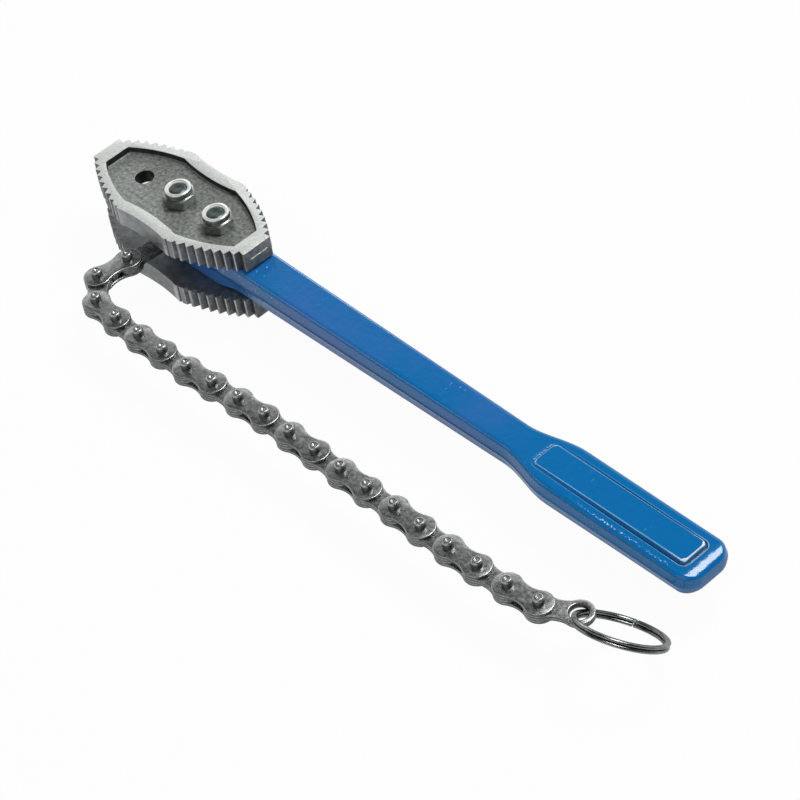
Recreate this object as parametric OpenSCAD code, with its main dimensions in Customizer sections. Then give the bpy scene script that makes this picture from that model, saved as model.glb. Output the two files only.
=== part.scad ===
// Reversible chain pipe wrench with double jaws, millimetres.
// The origin is the middle of the spare bolt hole, halfway between the jaws.
// +X runs to the end of the grip, +Y away from the chain and +Z up through the nuts.

/* [Jaws] */
// Length of a jaw plate over its two ends
jaw_len = 126; // [110:1:140]
// Width of a jaw plate over the corners of its waists
jaw_w = 55.4; // [50:0.2:62]
// Width of a jaw plate's blunt end
jaw_end_w = 17.6; // [14:0.2:20]
// Thickness of a jaw plate
jaw_t = 12; // [10:0.2:15]
// Space between the two jaw plates
jaw_gap = 21.2; // [19:0.2:25]
// Length of the smooth waist between the toothed flanks
waist_len = 39; // [32:0.5:46]
// How far the middle of the waist dips below its corners
waist_dip = 1.6; // [0.8:0.1:3]
// How far a toothed flank bulges beyond a straight line
flank_bulge = 2.9; // [1:0.1:4]
// Depth of the pocket in a jaw's outer face
pocket_depth = 3.6; // [2:0.1:5]
// Width of the ground rim along the toothed flanks
rim_w = 6.2; // [4:0.1:7]
// Width of the ground rim at the blunt ends
rim_end_w = 9.3; // [6:0.1:12]
// Width of the ground rim at the middle of the waist
rim_waist_w = 6.8; // [5.5:0.1:8]
// How far the forging ridge stands out of a jaw's blunt end
end_ridge = 0.5; // [0.3:0.1:1]
// Radius of the pocket's corners beside the waist
pocket_corner_r = 7; // [4:0.5:10]

/* [Teeth] */
// Distance between neighbouring teeth along a flank
tooth_pitch = 5.4; // [4:0.1:7]
// Depth of the notch between two teeth
tooth_depth = 2.6; // [1.4:0.1:3]
// Width of the flat on the crest of a tooth
tooth_land = 0.5; // [0.3:0.1:0.8]

/* [Bolts] */
// Distance between neighbouring bolt holes of a jaw
hole_pitch = 31; // [28:0.2:34]
// Shank diameter of the two bolts
bolt_d = 10; // [8:0.5:11]
// Diameter that a bolt hole has beyond its bolt
hole_clearance = 0.5; // [0.2:0.05:1]
// Width across flats of nuts and bolt heads
hex_af = 16; // [15.5:0.1:18]
// Height of a bolt head
head_h = 6.4; // [5:0.1:8]
// Height of a lock nut's hexagon
nut_hex_h = 6.2; // [5:0.1:8]
// Diameter of the collar that holds the nylon insert
collar_d = 14.8; // [14:0.1:15.2]
// Height of that collar
nut_collar_h = 3.4; // [2.5:0.1:5]
// Length of bolt that stands out of its nut, below zero where it ends inside the collar
bolt_stickout = -0.6; // [-1:0.1:3]

/* [Handle] */
// Distance from the chain bolt to the end of the grip
handle_reach = 379; // [340:1:420]
// Radius of the handle's head round each bolt
head_r = 13; // [11.5:0.1:15]
// Width of the neck beside the jaws
neck_w_front = 24.4; // [19:0.2:25]
// Width of the neck where the grip flares
neck_w_back = 20.2; // [17:0.2:22]
// Thickness of the neck beside the jaws
neck_t_front = 18.4; // [15:0.2:19]
// Thickness of the neck where the grip flares
neck_t_back = 15.2; // [13:0.2:17]
// Length of the grip behind its flare
grip_len = 94; // [80:1:110]
// Length of the flare from neck to grip
flare_len = 34; // [24:1:44]
// Width of the grip
grip_w = 32; // [28:0.2:36]
// Thickness of the grip at its end
grip_t_end = 12.4; // [11.6:0.1:14]
// Corner radius of the grip's end, seen from above
grip_end_r = 9; // [6:0.5:11]
// Rounding of the handle's long edges
edge_r = 2.6; // [1.5:0.1:3.4]
// Lean of the forged sides from the parting line to the edge
side_draft = 0.7; // [0.2:0.1:1.2]
// How far the trimmed forging seam stands out
seam_h = 0.35; // [0.2:0.05:0.6]
// Width of the raised panel on the grip
panel_w = 16.6; // [14:0.2:18]
// Length of the raised panel on the grip
panel_len = 99; // [85:1:110]
// Distance from the panel to the end of the grip
panel_end_gap = 9.4; // [7:0.2:13]
// How far the panel stands above the neck
panel_lift = 0.5; // [0.2:0.1:1]

/* [Chain] */
// Distance between neighbouring chain pins
pitch = 19.05; // [17:0.05:21]
// Thickness of one link plate
plate_t = 1.6; // [1.4:0.1:2.2]
// Height of a link plate at its pins
plate_h = 15.2; // [13.5:0.1:17]
// Height of a link plate at its waist
plate_waist = 10.8; // [9:0.1:12.5]
// Diameter of a chain pin
pin_d = 5.8; // [5.2:0.1:6.4]
// Length of pin that stands out of the outer plates on each side
pin_stick = 4; // [2.5:0.1:6]
// Bevel at both ends of a pin
pin_bevel = 0.8; // [0.4:0.1:1]
// Distance from the jaw's waist to the first chain pin
anchor_reach = 10.9; // [9:0.1:16]
// Radius of the anchor link's eye on the chain bolt
anchor_eye_r = 10.4; // [9:0.1:11]
// Gap between plates that turn on each other
plate_gap = 0.12; // [0.1:0.01:0.2]
// Radial running clearance of a link on its pin or bolt
running_clearance = 0.06; // [0.03:0.01:0.09]
// Radial clearance of parts that are pushed together
seat_clearance = 0.02; // [0.01:0.005:0.03]

/* [Ring] */
// Outer diameter of the end ring
ring_d = 47.2; // [42:0.2:52]
// Wire diameter of the end ring
ring_wire = 3.4; // [2.6:0.1:3.4]
// Diameter of the end link's hole for the ring
ring_hole_d = 8.2; // [8.2:0.1:8.6]
// Rounding of that hole's mouth
ring_hole_round = 1; // [1:0.1:1.2]
// Width of the butt gap in the ring's wire
ring_split = 0.6; // [0.3:0.1:1.5]
// Tilt of the ring from level, as it lies
ring_tilt = 40; // [40:1:60]
// Direction in which the ring lies, from +X
ring_heading = 12.5; // [5:0.5:20]

/* [Hidden] */
$fn = 64;
outer_links = 10;
pin_count = 2 * outer_links;

// Direction of the anchor link as it lies, and the bend of the chain at each pin after it
anchor_heading = -95;
bends = [-2, 56, 36, 4, 2, 0, 3, -1, 0, -3, 0, -1, 1, 0, -1, 1, 1, 2, 2, 23];

// Stations along X
chain_bolt_x = hole_pitch;
handle_bolt_x = 2 * hole_pitch;
jaw_mid_x = chain_bolt_x;
handle_end_x = chain_bolt_x + handle_reach;
grip_x = handle_end_x - grip_len;
flare_x = grip_x - flare_len;
panel_end_x = handle_end_x - panel_end_gap;

// Heights from the middle plane
jaw_in_z = jaw_gap / 2;
jaw_out_z = jaw_in_z + jaw_t;
pocket_z = jaw_out_z - pocket_depth;
nut_h = nut_hex_h + nut_collar_h;
nut_top_z = pocket_z + nut_h;
inner_plate_z = plate_gap / 2;
outer_plate_z = inner_plate_z + plate_t + plate_gap;
chain_half_t = outer_plate_z + plate_t;
anchor_t = 2 * (inner_plate_z + plate_t);
slot_gap = 0.3;
slot_h = 2 * (chain_half_t + slot_gap);
anchor_eye_t = slot_h - 2 * plate_gap;
panel_half_t = neck_t_back / 2 + panel_lift;

// Radii
bolt_r = bolt_d / 2;
hole_r = bolt_r + hole_clearance / 2;
pin_r = pin_d / 2;
pin_len = 2 * (chain_half_t + pin_stick);
anchor_len = jaw_w / 2 + anchor_reach;
ring_mean_r = (ring_d - ring_wire) / 2;
collar_r = collar_d / 2;
collar_wall = 0.9;
insert_r = collar_r - collar_wall;
lip_gap = 0.5;
lip_r = bolt_r + lip_gap;
lip_h = 0.5;
over = 1;

// The toothed flank is an arc from the waist's corner to the blunt end
flank_near = [waist_len / 2, jaw_w / 2];
flank_far = [jaw_len / 2, jaw_end_w / 2];
flank_chord = norm(flank_far - flank_near);
flank_r = (pow(flank_chord / 2, 2) + pow(flank_bulge, 2)) / (2 * flank_bulge);
flank_out = [flank_near[1] - flank_far[1], flank_far[0] - flank_near[0]] / flank_chord;
flank_mid = (flank_near + flank_far) / 2 - (flank_r - flank_bulge) * flank_out;
flank_far_a = atan2(flank_far[1] - flank_mid[1], flank_far[0] - flank_mid[0]);
arc_degrees = 180 / PI / flank_r;
tooth_start = tooth_pitch / 2 + tooth_land;
tooth_count = floor((flank_chord - tooth_start) / tooth_pitch) + 1;
tooth_fade = 3;

function two_digits(i) = i < 10 ? str("0", i) : str(i);
function outer_name(i) = str("outer_plates_", two_digits(i));
function pins_name(i) = str("pins_", two_digits(i));
function inner_name(i) = str("inner_plates_", two_digits(i));

// Direction of the link that leaves pin k; link 0 is the anchor link
function heading(k) = k == 0 ? anchor_heading : heading(k - 1) + bends[k - 1];
function along(a) = [cos(a), sin(a)];
function pin_at(k) =
    k == 1 ? [chain_bolt_x, 0] + anchor_len * along(heading(0)) : pin_at(k - 1) + pitch * along(heading(k - 1));

// Radius of a circle that bows by a given rise over a chord
function bow_r(chord, rise) = (chord * chord / 4 + rise * rise) / (2 * rise);
function smooth(t) = t <= 0 ? 0 : t >= 1 ? 1 : t * t * (3 - 2 * t);
function mix(a, b, t) = a + (b - a) * t;

// The point that lies a given distance from a on the way to b
function toward(a, b, distance) = a + distance * (b - a) / norm(b - a);

// The right-hand point that lies at distance ra from a and rb from b
function meet(a, ra, b, rb) =
    let (d = norm(b - a), u = (b - a) / d, t = (d * d + ra * ra - rb * rb) / (2 * d))
    a + t * u + sqrt(ra * ra - t * t) * [u[1], -u[0]];
function reversed(list) = [for (i = [len(list) - 1 : -1 : 0]) list[i]];

// Places a link's own X axis from pin k along the chain
module at_pin(k) {
    translate([pin_at(k)[0], pin_at(k)[1], 0]) rotate(heading(k)) children();
}

// The lens of four flank arcs, drawn in by a distance; each end has the two arcs of its own flanks
module flank_lens(inset) {
    for (m = [0, 1]) {
        mirror([m, 0]) intersection() {
            translate([-over, -jaw_w]) square([jaw_len, 2 * jaw_w]);
            intersection_for (sy = [-1, 1]) {
                translate([flank_mid[0], sy * flank_mid[1]]) circle(flank_r - inset, $fn = 180);
            }
        }
    }
}

// Both waists of a jaw, as two circles that bite into its long sides
module waist_bites(chord, corner_y, rise) {
    r = bow_r(chord, rise);
    for (s = [-1, 1]) {
        translate([0, s * (corner_y - rise + r)]) circle(r, $fn = 180);
    }
}

module jaw_outline() {
    difference() {
        intersection() {
            flank_lens(0);
            square([jaw_len, 2 * jaw_w], center = true);
        }
        waist_bites(waist_len, jaw_w / 2, waist_dip);
    }
}

// What a rounded corner takes off the pocket at +X +Y, between its flank and its waist
// The circle is a little too large to touch both sides, so that it crosses each at a clear angle
module pocket_corner(waist_mid, waist_r) {
    crossing = 0.05;
    flank_pocket_r = flank_r - rim_w;
    round_mid = meet(flank_mid, flank_pocket_r - pocket_corner_r, waist_mid, waist_r + pocket_corner_r);
    flank_touch = toward(flank_mid, round_mid, flank_pocket_r);
    waist_touch = toward(waist_mid, round_mid, waist_r);
    corner = meet(flank_mid, flank_pocket_r, waist_mid, waist_r);
    difference() {
        polygon([round_mid, flank_touch, toward(round_mid, corner, 2 * norm(corner - round_mid)), waist_touch]);
        translate(round_mid) circle(pocket_corner_r + crossing);
    }
}

module pocket_outline() {
    waist_y = jaw_w / 2 - rim_waist_w;
    waist_r = bow_r(waist_len, waist_dip);
    waist_mid = [0, waist_y - waist_dip + waist_r];
    difference() {
        intersection() {
            flank_lens(rim_w);
            square([jaw_len - 2 * rim_end_w, 2 * jaw_w], center = true);
        }
        waist_bites(waist_len, waist_y, waist_dip);
        for (mx = [0, 1], my = [0, 1]) {
            mirror([mx, 0]) mirror([0, my]) pocket_corner(waist_mid, waist_r);
        }
    }
}

// Notches between the teeth of the flank at +X +Y, shallower towards the waist
module flank_notches() {
    for (i = [0 : tooth_count - 1]) {
        fade = min(1, (tooth_count - i) / tooth_fade);
        depth = tooth_depth * fade;
        half_w = (tooth_pitch - tooth_land) / 2 * fade;
        along_flank = tooth_start + i * tooth_pitch;
        translate(flank_mid) rotate(flank_far_a + along_flank * arc_degrees) translate([flank_r, 0, 0])
            linear_extrude(2 * jaw_t, center = true)
                polygon([[-depth, 0], [over, -half_w * (1 + over / depth)], [over, half_w * (1 + over / depth)]]);
    }
}

// One jaw plate, lying with its inner face on the plane Z = 0
module jaw_plate() {
    ridge_len = jaw_end_w * 2 / 3;
    ridge_h = 1.6;
    for (s = [-1, 1]) {
        translate([s * jaw_len / 2, 0, jaw_t / 2]) cube([2 * end_ridge, ridge_len, ridge_h], center = true);
    }
    difference() {
        linear_extrude(jaw_t) jaw_outline();
        translate([0, 0, jaw_t - pocket_depth]) linear_extrude(pocket_depth + over) pocket_outline();
        for (mx = [0, 1], my = [0, 1]) {
            mirror([mx, 0, 0]) mirror([0, my, 0]) translate([0, 0, jaw_t / 2]) flank_notches();
        }
        for (x = [-hole_pitch, 0, hole_pitch]) {
            translate([x, 0, -over]) cylinder(jaw_t + 2 * over, r = hole_r);
        }
    }
}

module upper_jaw() {
    color("dimgray") translate([jaw_mid_x, 0, jaw_in_z]) jaw_plate();
}

module lower_jaw() {
    color("dimgray") mirror([0, 0, 1]) translate([jaw_mid_x, 0, jaw_in_z]) jaw_plate();
}

// A hexagon whose upper corners are turned off, as on nuts and bolt heads
module turned_hex(h) {
    corner_r = hex_af / 2 / cos(30);
    bevel = (corner_r - hex_af / 2) * tan(30);
    face_r = 0.95 * hex_af / 2;
    intersection() {
        rotate(30) cylinder(h, r = corner_r, $fn = 6);
        rotate_extrude() polygon([[0, 0], [corner_r, 0], [corner_r, h - bevel], [face_r, h], [0, h]]);
    }
}

// A hexagon bolt with its head in the lower pocket and its end above the nut
module bolt(x) {
    bolt_end_z = nut_top_z + bolt_stickout;
    bevel = 1;
    color("silver") translate([x, 0, 0]) {
        translate([0, 0, -pocket_z]) mirror([0, 0, 1]) turned_hex(head_h);
        translate([0, 0, -pocket_z - over]) cylinder(bolt_end_z + pocket_z + over - bevel, r = bolt_r);
        translate([0, 0, bolt_end_z - bevel]) cylinder(bevel, bolt_r, bolt_r - bevel);
    }
}

module chain_bolt() {
    bolt(chain_bolt_x);
}

module handle_bolt() {
    bolt(handle_bolt_x);
}

// A lock nut: hexagon below, round collar with a pocket for its insert above
module lock_nut() {
    crown = 0.8;
    difference() {
        union() {
            turned_hex(nut_hex_h);
            rotate_extrude()
                polygon([[0, 0], [collar_r, 0], [collar_r, nut_h - crown], [collar_r - crown, nut_h], [0, nut_h]]);
        }
        translate([0, 0, -over]) cylinder(nut_h + 2 * over, r = bolt_r + seat_clearance);
        translate([0, 0, nut_hex_h]) cylinder(nut_collar_h - lip_h, r = insert_r);
        translate([0, 0, nut_hex_h]) cylinder(nut_collar_h + over, r = lip_r);
    }
}

module lock_nuts() {
    for (x = [chain_bolt_x, handle_bolt_x]) {
        color("gainsboro") translate([x, 0, pocket_z]) lock_nut();
    }
}

// The nylon rings inside the nuts' collars
module nut_inserts() {
    for (x = [chain_bolt_x, handle_bolt_x]) {
        color("white") translate([x, 0, pocket_z + nut_hex_h + seat_clearance]) difference() {
            cylinder(nut_collar_h - lip_h - 2 * seat_clearance, r = insert_r - seat_clearance);
            translate([0, 0, -over]) cylinder(nut_collar_h + 2 * over, r = bolt_r + seat_clearance);
        }
    }
}

// Half width and half thickness of the forged bar at a station along X
end_drop = grip_t_end / 4;
seam_base = 2 * seam_h;
function end_round(x, r) =
    x <= handle_end_x - grip_end_r ? 0 : r * (1 - sqrt(max(0, 1 - pow((x - handle_end_x) / grip_end_r + 1, 2))));
function neck_t(x) = (x - handle_bolt_x) / (flare_x - handle_bolt_x);
function bar_half_w(x) =
    mix(mix(neck_w_front, neck_w_back, min(1, neck_t(x))), grip_w, smooth((x - flare_x) / flare_len)) / 2
    - end_round(x, grip_end_r);
function bar_half_t(x) =
    mix(mix(neck_t_front, neck_t_back, min(1, neck_t(x))), grip_t_end, smooth((x - flare_x) / (handle_end_x - flare_x)))
    / 2 - end_round(x, end_drop);

// One quarter of the bar's section, from beside the seam to the top
function bar_quarter(w, t) =
    concat([[w, seam_base]], [for (a = [0 : 22.5 : 90]) [w - side_draft - edge_r, t - edge_r] + edge_r * along(a)]);
function flipped(list, sy, sz) = [for (p = list) [p[0] * sy, p[1] * sz]];
function bar_section(w, t) =
    let (q = bar_quarter(w, t))
    concat(
        [[w + seam_h, 0]], q, reversed(flipped(q, -1, 1)),
        [[-w - seam_h, 0]], flipped(q, -1, -1), reversed(flipped(q, 1, -1))
    );

// The neck and grip, lofted through sections from the handle bolt to the end of the grip
module forged_bar() {
    flare_steps = 14;
    round_steps = 8;
    stations = concat(
        [handle_bolt_x, mix(handle_bolt_x, flare_x, 0.5)],
        [for (i = [0 : flare_steps]) flare_x + flare_len * i / flare_steps],
        [for (i = [1 : 3]) mix(grip_x, handle_end_x - grip_end_r, i / 3)],
        [for (i = [1 : round_steps]) handle_end_x - grip_end_r * (1 - sin(90 * i / round_steps))]
    );
    sections = [for (x = stations) bar_section(bar_half_w(x), bar_half_t(x))];
    m = len(sections[0]);
    last = len(stations) - 1;
    points = [for (i = [0 : last], p = sections[i]) [stations[i], p[0], p[1]]];
    walls = [for (i = [0 : last - 1], j = [0 : m - 1], half = [0, 1])
        let (k = (j + 1) % m)
        half == 0 ? [i * m + j, (i + 1) * m + k, i * m + k] : [i * m + j, (i + 1) * m + j, (i + 1) * m + k]];
    caps = concat(
        [for (j = [1 : m - 2]) [0, j, j + 1]],
        [for (j = [1 : m - 2]) [last * m, last * m + j + 1, last * m + j]]
    );
    polyhedron(points, concat(walls, caps));
}

// The raised panel on both faces of the grip
module grip_panel() {
    corner_r = 3;
    mid_x = panel_end_x - panel_len / 2;
    translate([mid_x, 0, -panel_half_t]) linear_extrude(2 * panel_half_t) {
        square([panel_len - 2 * corner_r, panel_w], center = true);
        square([panel_len, panel_w - 2 * corner_r], center = true);
        for (sx = [-1, 1], sy = [-1, 1]) {
            translate([sx * (panel_len / 2 - corner_r), sy * (panel_w / 2 - corner_r)]) circle(corner_r);
        }
    }
}

// The drop-forged handle: a forked head between the jaws, then neck and grip
module handle() {
    slot_back_x = chain_bolt_x + head_r;
    color("royalblue") difference() {
        union() {
            for (x = [chain_bolt_x, handle_bolt_x]) {
                translate([x, 0, -jaw_in_z]) cylinder(jaw_gap, r = head_r);
            }
            translate([chain_bolt_x, -head_r, -jaw_in_z]) cube([hole_pitch, 2 * head_r, jaw_gap]);
            forged_bar();
            grip_panel();
        }
        for (x = [chain_bolt_x, handle_bolt_x]) {
            translate([x, 0, -jaw_in_z - over]) cylinder(jaw_gap + 2 * over, r = hole_r);
        }
        translate([slot_back_x - 3 * head_r, -2 * head_r, -slot_h / 2]) cube([3 * head_r, 4 * head_r, slot_h]);
    }
}

// A figure-of-eight link plate from its own pin at X = 0 to the next
module plate_outline() {
    r = bow_r(pitch, (plate_h - plate_waist) / 2);
    difference() {
        union() {
            for (x = [0, pitch]) {
                translate([x, 0]) circle(d = plate_h);
            }
            translate([0, -plate_h / 2]) square([pitch, plate_h]);
        }
        for (s = [-1, 1]) {
            translate([pitch / 2, s * (plate_waist / 2 + r)]) circle(r, $fn = 180);
        }
    }
}

// Two link plates at equal heights above and below the middle plane, bored for their pins
module plate_pair(z, bore_r) {
    for (s = [0, 1]) {
        mirror([0, 0, s]) translate([0, 0, z]) difference() {
            linear_extrude(plate_t) plate_outline();
            for (x = [0, pitch]) {
                translate([x, 0, -over]) cylinder(plate_t + 2 * over, r = bore_r);
            }
        }
    }
}

module outer_plates(i) {
    color("slategray") at_pin(2 * i - 1) plate_pair(outer_plate_z, pin_r + seat_clearance);
}

module inner_plates(i) {
    color("gray") at_pin(2 * i) plate_pair(inner_plate_z, pin_r + running_clearance);
}

// A chain pin with bevelled ends and a centre mark in each
module pin() {
    mark_r = 0.9;
    half = pin_len / 2;
    rotate_extrude()
        polygon([
            [0, -half + mark_r], [mark_r, -half], [pin_r - pin_bevel, -half], [pin_r, -half + pin_bevel],
            [pin_r, half - pin_bevel], [pin_r - pin_bevel, half], [mark_r, half], [0, half - mark_r]
        ]);
}

module pins(i) {
    color("lightslategray") at_pin(2 * i - 1) {
        for (x = [0, pitch]) {
            translate([x, 0, 0]) pin();
        }
    }
}

// The long link from the chain bolt to the first chain pin, with an eye that fills the handle's fork
module anchor_link() {
    color("slategray") translate([chain_bolt_x, 0, 0]) rotate(anchor_heading) difference() {
        union() {
            cylinder(anchor_eye_t, r = anchor_eye_r, center = true);
            translate([anchor_len, 0, 0]) cylinder(anchor_t, d = plate_h, center = true);
            translate([anchor_len / 2, 0, 0]) cube([anchor_len, plate_waist, anchor_t], center = true);
        }
        cylinder(2 * anchor_eye_t, r = bolt_r + running_clearance, center = true);
        translate([anchor_len, 0, 0]) cylinder(2 * anchor_eye_t, r = pin_r + running_clearance, center = true);
    }
}

// The ring's hole through one end plate, with a rounded mouth on the outer face
module ring_bore() {
    r = ring_hole_d / 2;
    mouth_r = r + ring_hole_round;
    translate([0, 0, -over]) cylinder(plate_t + 2 * over, r = r);
    translate([0, 0, plate_t - ring_hole_round]) rotate_extrude() difference() {
        square([mouth_r, ring_hole_round + over]);
        translate([mouth_r, 0]) circle(ring_hole_round);
    }
}

// The last pair of inner plates, with a hole for the ring instead of a second pin
module end_link() {
    color("gray") at_pin(pin_count) for (s = [0, 1]) {
        mirror([0, 0, s]) translate([0, 0, inner_plate_z]) difference() {
            linear_extrude(plate_t) plate_outline();
            translate([0, 0, -over]) cylinder(plate_t + 2 * over, r = pin_r + running_clearance);
            translate([pitch, 0, 0]) ring_bore();
        }
    }
}

// The open wire ring, tilted as it lies, with its wire through the end link's hole
module end_ring() {
    split_a = ring_split / ring_mean_r * 180 / PI;
    split_heading = 99;
    color("darkgray") at_pin(pin_count) translate([pitch, 0, 0]) rotate(ring_heading - heading(pin_count))
        rotate([-ring_tilt, 0, 0]) translate([ring_mean_r, 0, 0]) rotate(split_heading + split_a / 2)
            rotate_extrude(angle = 360 - split_a) translate([ring_mean_r, 0]) circle(d = ring_wire, $fn = 32);
}

handle();
upper_jaw();
lower_jaw();
chain_bolt();
handle_bolt();
lock_nuts();
nut_inserts();
anchor_link();
for (i = [1 : outer_links]) {
    outer_plates(i);
    pins(i);
}
for (i = [1 : outer_links - 1]) {
    inner_plates(i);
}
end_link();
end_ring();
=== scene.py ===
"""Looks of a double-jaw chain pipe wrench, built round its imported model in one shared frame.

Sizes are in millimetres, as on the drawing, and turn into metres where a vertex is made.
"""

import logging
import math
from collections.abc import Callable
from dataclasses import dataclass
from enum import Enum
from typing import Any

import bmesh
import bpy
from bmesh.types import BMEdge, BMesh, BMFace
from bpy.types import Material, MeshPolygon, NodeSocket, Object
from mathutils import Matrix, Vector

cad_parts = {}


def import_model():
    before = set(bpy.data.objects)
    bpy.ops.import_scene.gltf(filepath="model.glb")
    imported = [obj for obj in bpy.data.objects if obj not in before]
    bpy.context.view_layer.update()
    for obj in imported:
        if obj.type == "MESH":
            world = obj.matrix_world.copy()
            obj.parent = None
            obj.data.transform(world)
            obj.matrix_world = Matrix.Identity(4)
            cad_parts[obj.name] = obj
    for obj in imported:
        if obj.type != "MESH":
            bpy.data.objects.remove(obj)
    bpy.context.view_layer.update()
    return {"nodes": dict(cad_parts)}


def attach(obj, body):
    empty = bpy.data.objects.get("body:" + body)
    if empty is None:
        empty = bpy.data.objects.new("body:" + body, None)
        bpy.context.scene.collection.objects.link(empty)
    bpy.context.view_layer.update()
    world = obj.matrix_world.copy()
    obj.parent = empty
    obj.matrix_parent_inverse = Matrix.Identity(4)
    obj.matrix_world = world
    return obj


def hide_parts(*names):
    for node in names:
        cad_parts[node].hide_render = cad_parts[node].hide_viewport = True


LOG = logging.getLogger("chain_wrench")
MM = 0.001
# Where the bolts stand, the radius of their holes and the height of the pockets' floors, in millimetres
CHAIN_BOLT_X = 31.0
HANDLE_BOLT_X = 62.0
BOLT_HOLE_R = 5.25
POCKET_Z = 19.0
# Degrees past which an edge stays sharp
SHARP = 32.0
# How much of a face's normal points up, at most on an upright face and at least on a level one
UPRIGHT = 0.3
LEVEL = 0.98
# Points in a drilled hole's ring and in a turned fastener's
DRILLED = 64
TURNED = 96
# Steps round a link plate's end and fillet, and the least distance of two outline points, in millimetres
END_STEPS = 22
FILLET_STEPS = 8
CLOSEST = 0.05
Ring = list[Vector]


def linear(code: str) -> tuple[float, float, float, float]:
    """Turns an sRGB hex code into a linear colour.

    Args:
        code: Six hex digits after a hash sign.

    Returns:
        Linear red, green and blue, with an alpha of 1.
    """
    parts = [int(code[i : i + 2], 16) / 255 for i in (1, 3, 5)]
    shades = [c / 12.92 if c <= 0.04045 else ((c + 0.055) / 1.055) ** 2.4 for c in parts]
    return (*shades, 1.0)


def add_node(tree: Any, kind: str, inputs: dict[Any, Any] | None = None, **settings: Any) -> Any:
    """Adds a node with its settings, and fills or links its inputs.

    Args:
        tree: Node tree that takes the node.
        kind: Blender's name for the node type.
        inputs: Values or output sockets by input name or number.
        **settings: Properties of the node itself.

    Returns:
        The new node.
    """
    node = tree.nodes.new(kind)
    for key, value in settings.items():
        setattr(node, key, value)
    for key, value in (inputs or {}).items():
        if isinstance(value, NodeSocket):
            tree.links.new(value, node.inputs[key])
        else:
            node.inputs[key].default_value = value
    return node


def new_material(name: str) -> tuple[Material, Any]:
    """Makes a material with an empty tree.

    Args:
        name: Name of the finish.

    Returns:
        The material and its tree.
    """
    material = bpy.data.materials.new(name)
    material.use_nodes = True
    material.node_tree.nodes.clear()
    return material, material.node_tree


def pattern(tree: Any, size: float | tuple[float, float, float], detail: float, rough: float = 0.5) -> Any:
    """Draws an uneven pattern whose grains have a real size on the piece.

    Args:
        tree: Tree that takes the nodes.
        size: Size of a grain in millimetres, or its size along each axis.
        detail: How many finer patterns lie in it.
        rough: How strong those are.

    Returns:
        The socket with the pattern, most of it between 0.3 and 0.7.
    """
    sizes = size if isinstance(size, tuple) else (size,) * 3
    place = add_node(tree, "ShaderNodeTexCoord").outputs["Object"]
    scaled = add_node(
        tree, "ShaderNodeMapping", {"Vector": place, "Scale": tuple(1 / (side * MM) for side in sizes)}
    )
    noise = add_node(
        tree,
        "ShaderNodeTexNoise",
        {"Vector": scaled.outputs["Vector"], "Scale": 1.0, "Detail": detail, "Roughness": rough},
    )
    return noise.outputs["Fac"]


def mask(tree: Any, *steps: tuple[Any, ...], kind: str = "SMOOTHSTEP") -> Any:
    """Multiplies steps of values into one mask.

    Args:
        tree: Tree that takes the nodes.
        *steps: For each step the socket with the value, where the step starts and ends, and its
            results before and after, where these are not 0 and 1.
        kind: Blender's name for the shape of a step.

    Returns:
        The socket with the mask.
    """
    product = None
    for value, start, end, *results in steps:
        before, after = results or (0.0, 1.0)
        step = add_node(
            tree,
            "ShaderNodeMapRange",
            {"Value": value, "From Min": start, "From Max": end, "To Min": before, "To Max": after},
            interpolation_type=kind,
        ).outputs["Result"]
        if product is not None:
            step = add_node(tree, "ShaderNodeMath", {0: product, 1: step}, operation="MULTIPLY").outputs[0]
        product = step
    return product


def layered(tree: Any, base: Any, *layers: tuple[Any, Any]) -> Any:
    """Lays colours over a base, each as far as its mask says.

    Args:
        tree: Tree that takes the nodes.
        base: Hex code or socket of the lowest colour.
        *layers: Mask and colour of each layer, from the lowest up.

    Returns:
        The socket with the colour.
    """
    for share, colour in layers:
        below, above = (linear(c) if isinstance(c, str) else c for c in (base, colour))
        base = add_node(tree, "ShaderNodeMix", {0: share, 6: below, 7: above}, data_type="RGBA").outputs[2]
    return base


def edged(tree: Any, colour: Any, hollow: Any, ridge: Any, reach: float) -> Any:
    """Darkens a colour in hollows as painted shade, and lightens it on ridges, partly as rubbed wear and
    partly as painted highlight.

    Args:
        tree: Tree that takes the nodes.
        colour: Hex code or socket of the colour.
        hollow: Hex code or socket of the painted shade at the bottom of a hollow.
        ridge: The same for the crest of a ridge, partly rubbed wear and partly painted highlight.
        reach: How sharp a hollow or ridge has to be for its full colour.

    Returns:
        The socket with the new colour.
    """
    flat, slack = 0.5, 0.003
    bend = add_node(tree, "ShaderNodeNewGeometry").outputs["Pointiness"]
    return layered(
        tree,
        colour,
        (mask(tree, (bend, flat - reach, flat - slack, 1.0, 0.0)), hollow),
        (mask(tree, (bend, flat + slack, flat + reach)), ridge),
    )


def relief(tree: Any, *heights: tuple[Any, float]) -> Any:
    """Raises a surface by patterns that lie on one another.

    Args:
        tree: Tree that takes the nodes.
        *heights: Socket with each pattern and its depth in millimetres, the lowest first.

    Returns:
        The socket with the surface's normal.
    """
    below: dict[str, Any] = {}
    for height, depth in heights:
        inputs = {"Height": height, "Strength": 1.0, "Distance": depth * MM, **below}
        below = {"Normal": add_node(tree, "ShaderNodeBump", inputs).outputs["Normal"]}
    return below["Normal"]


def cover(tree: Any, inputs: dict[str, Any]) -> None:
    """Ends a tree with the surface that its material shows.

    Args:
        tree: Tree that takes the nodes.
        inputs: Values or sockets by the surface's input names.
    """
    shader = add_node(tree, "ShaderNodeBsdfPrincipled", inputs)
    add_node(tree, "ShaderNodeOutputMaterial", {"Surface": shader.outputs["BSDF"]})


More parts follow.
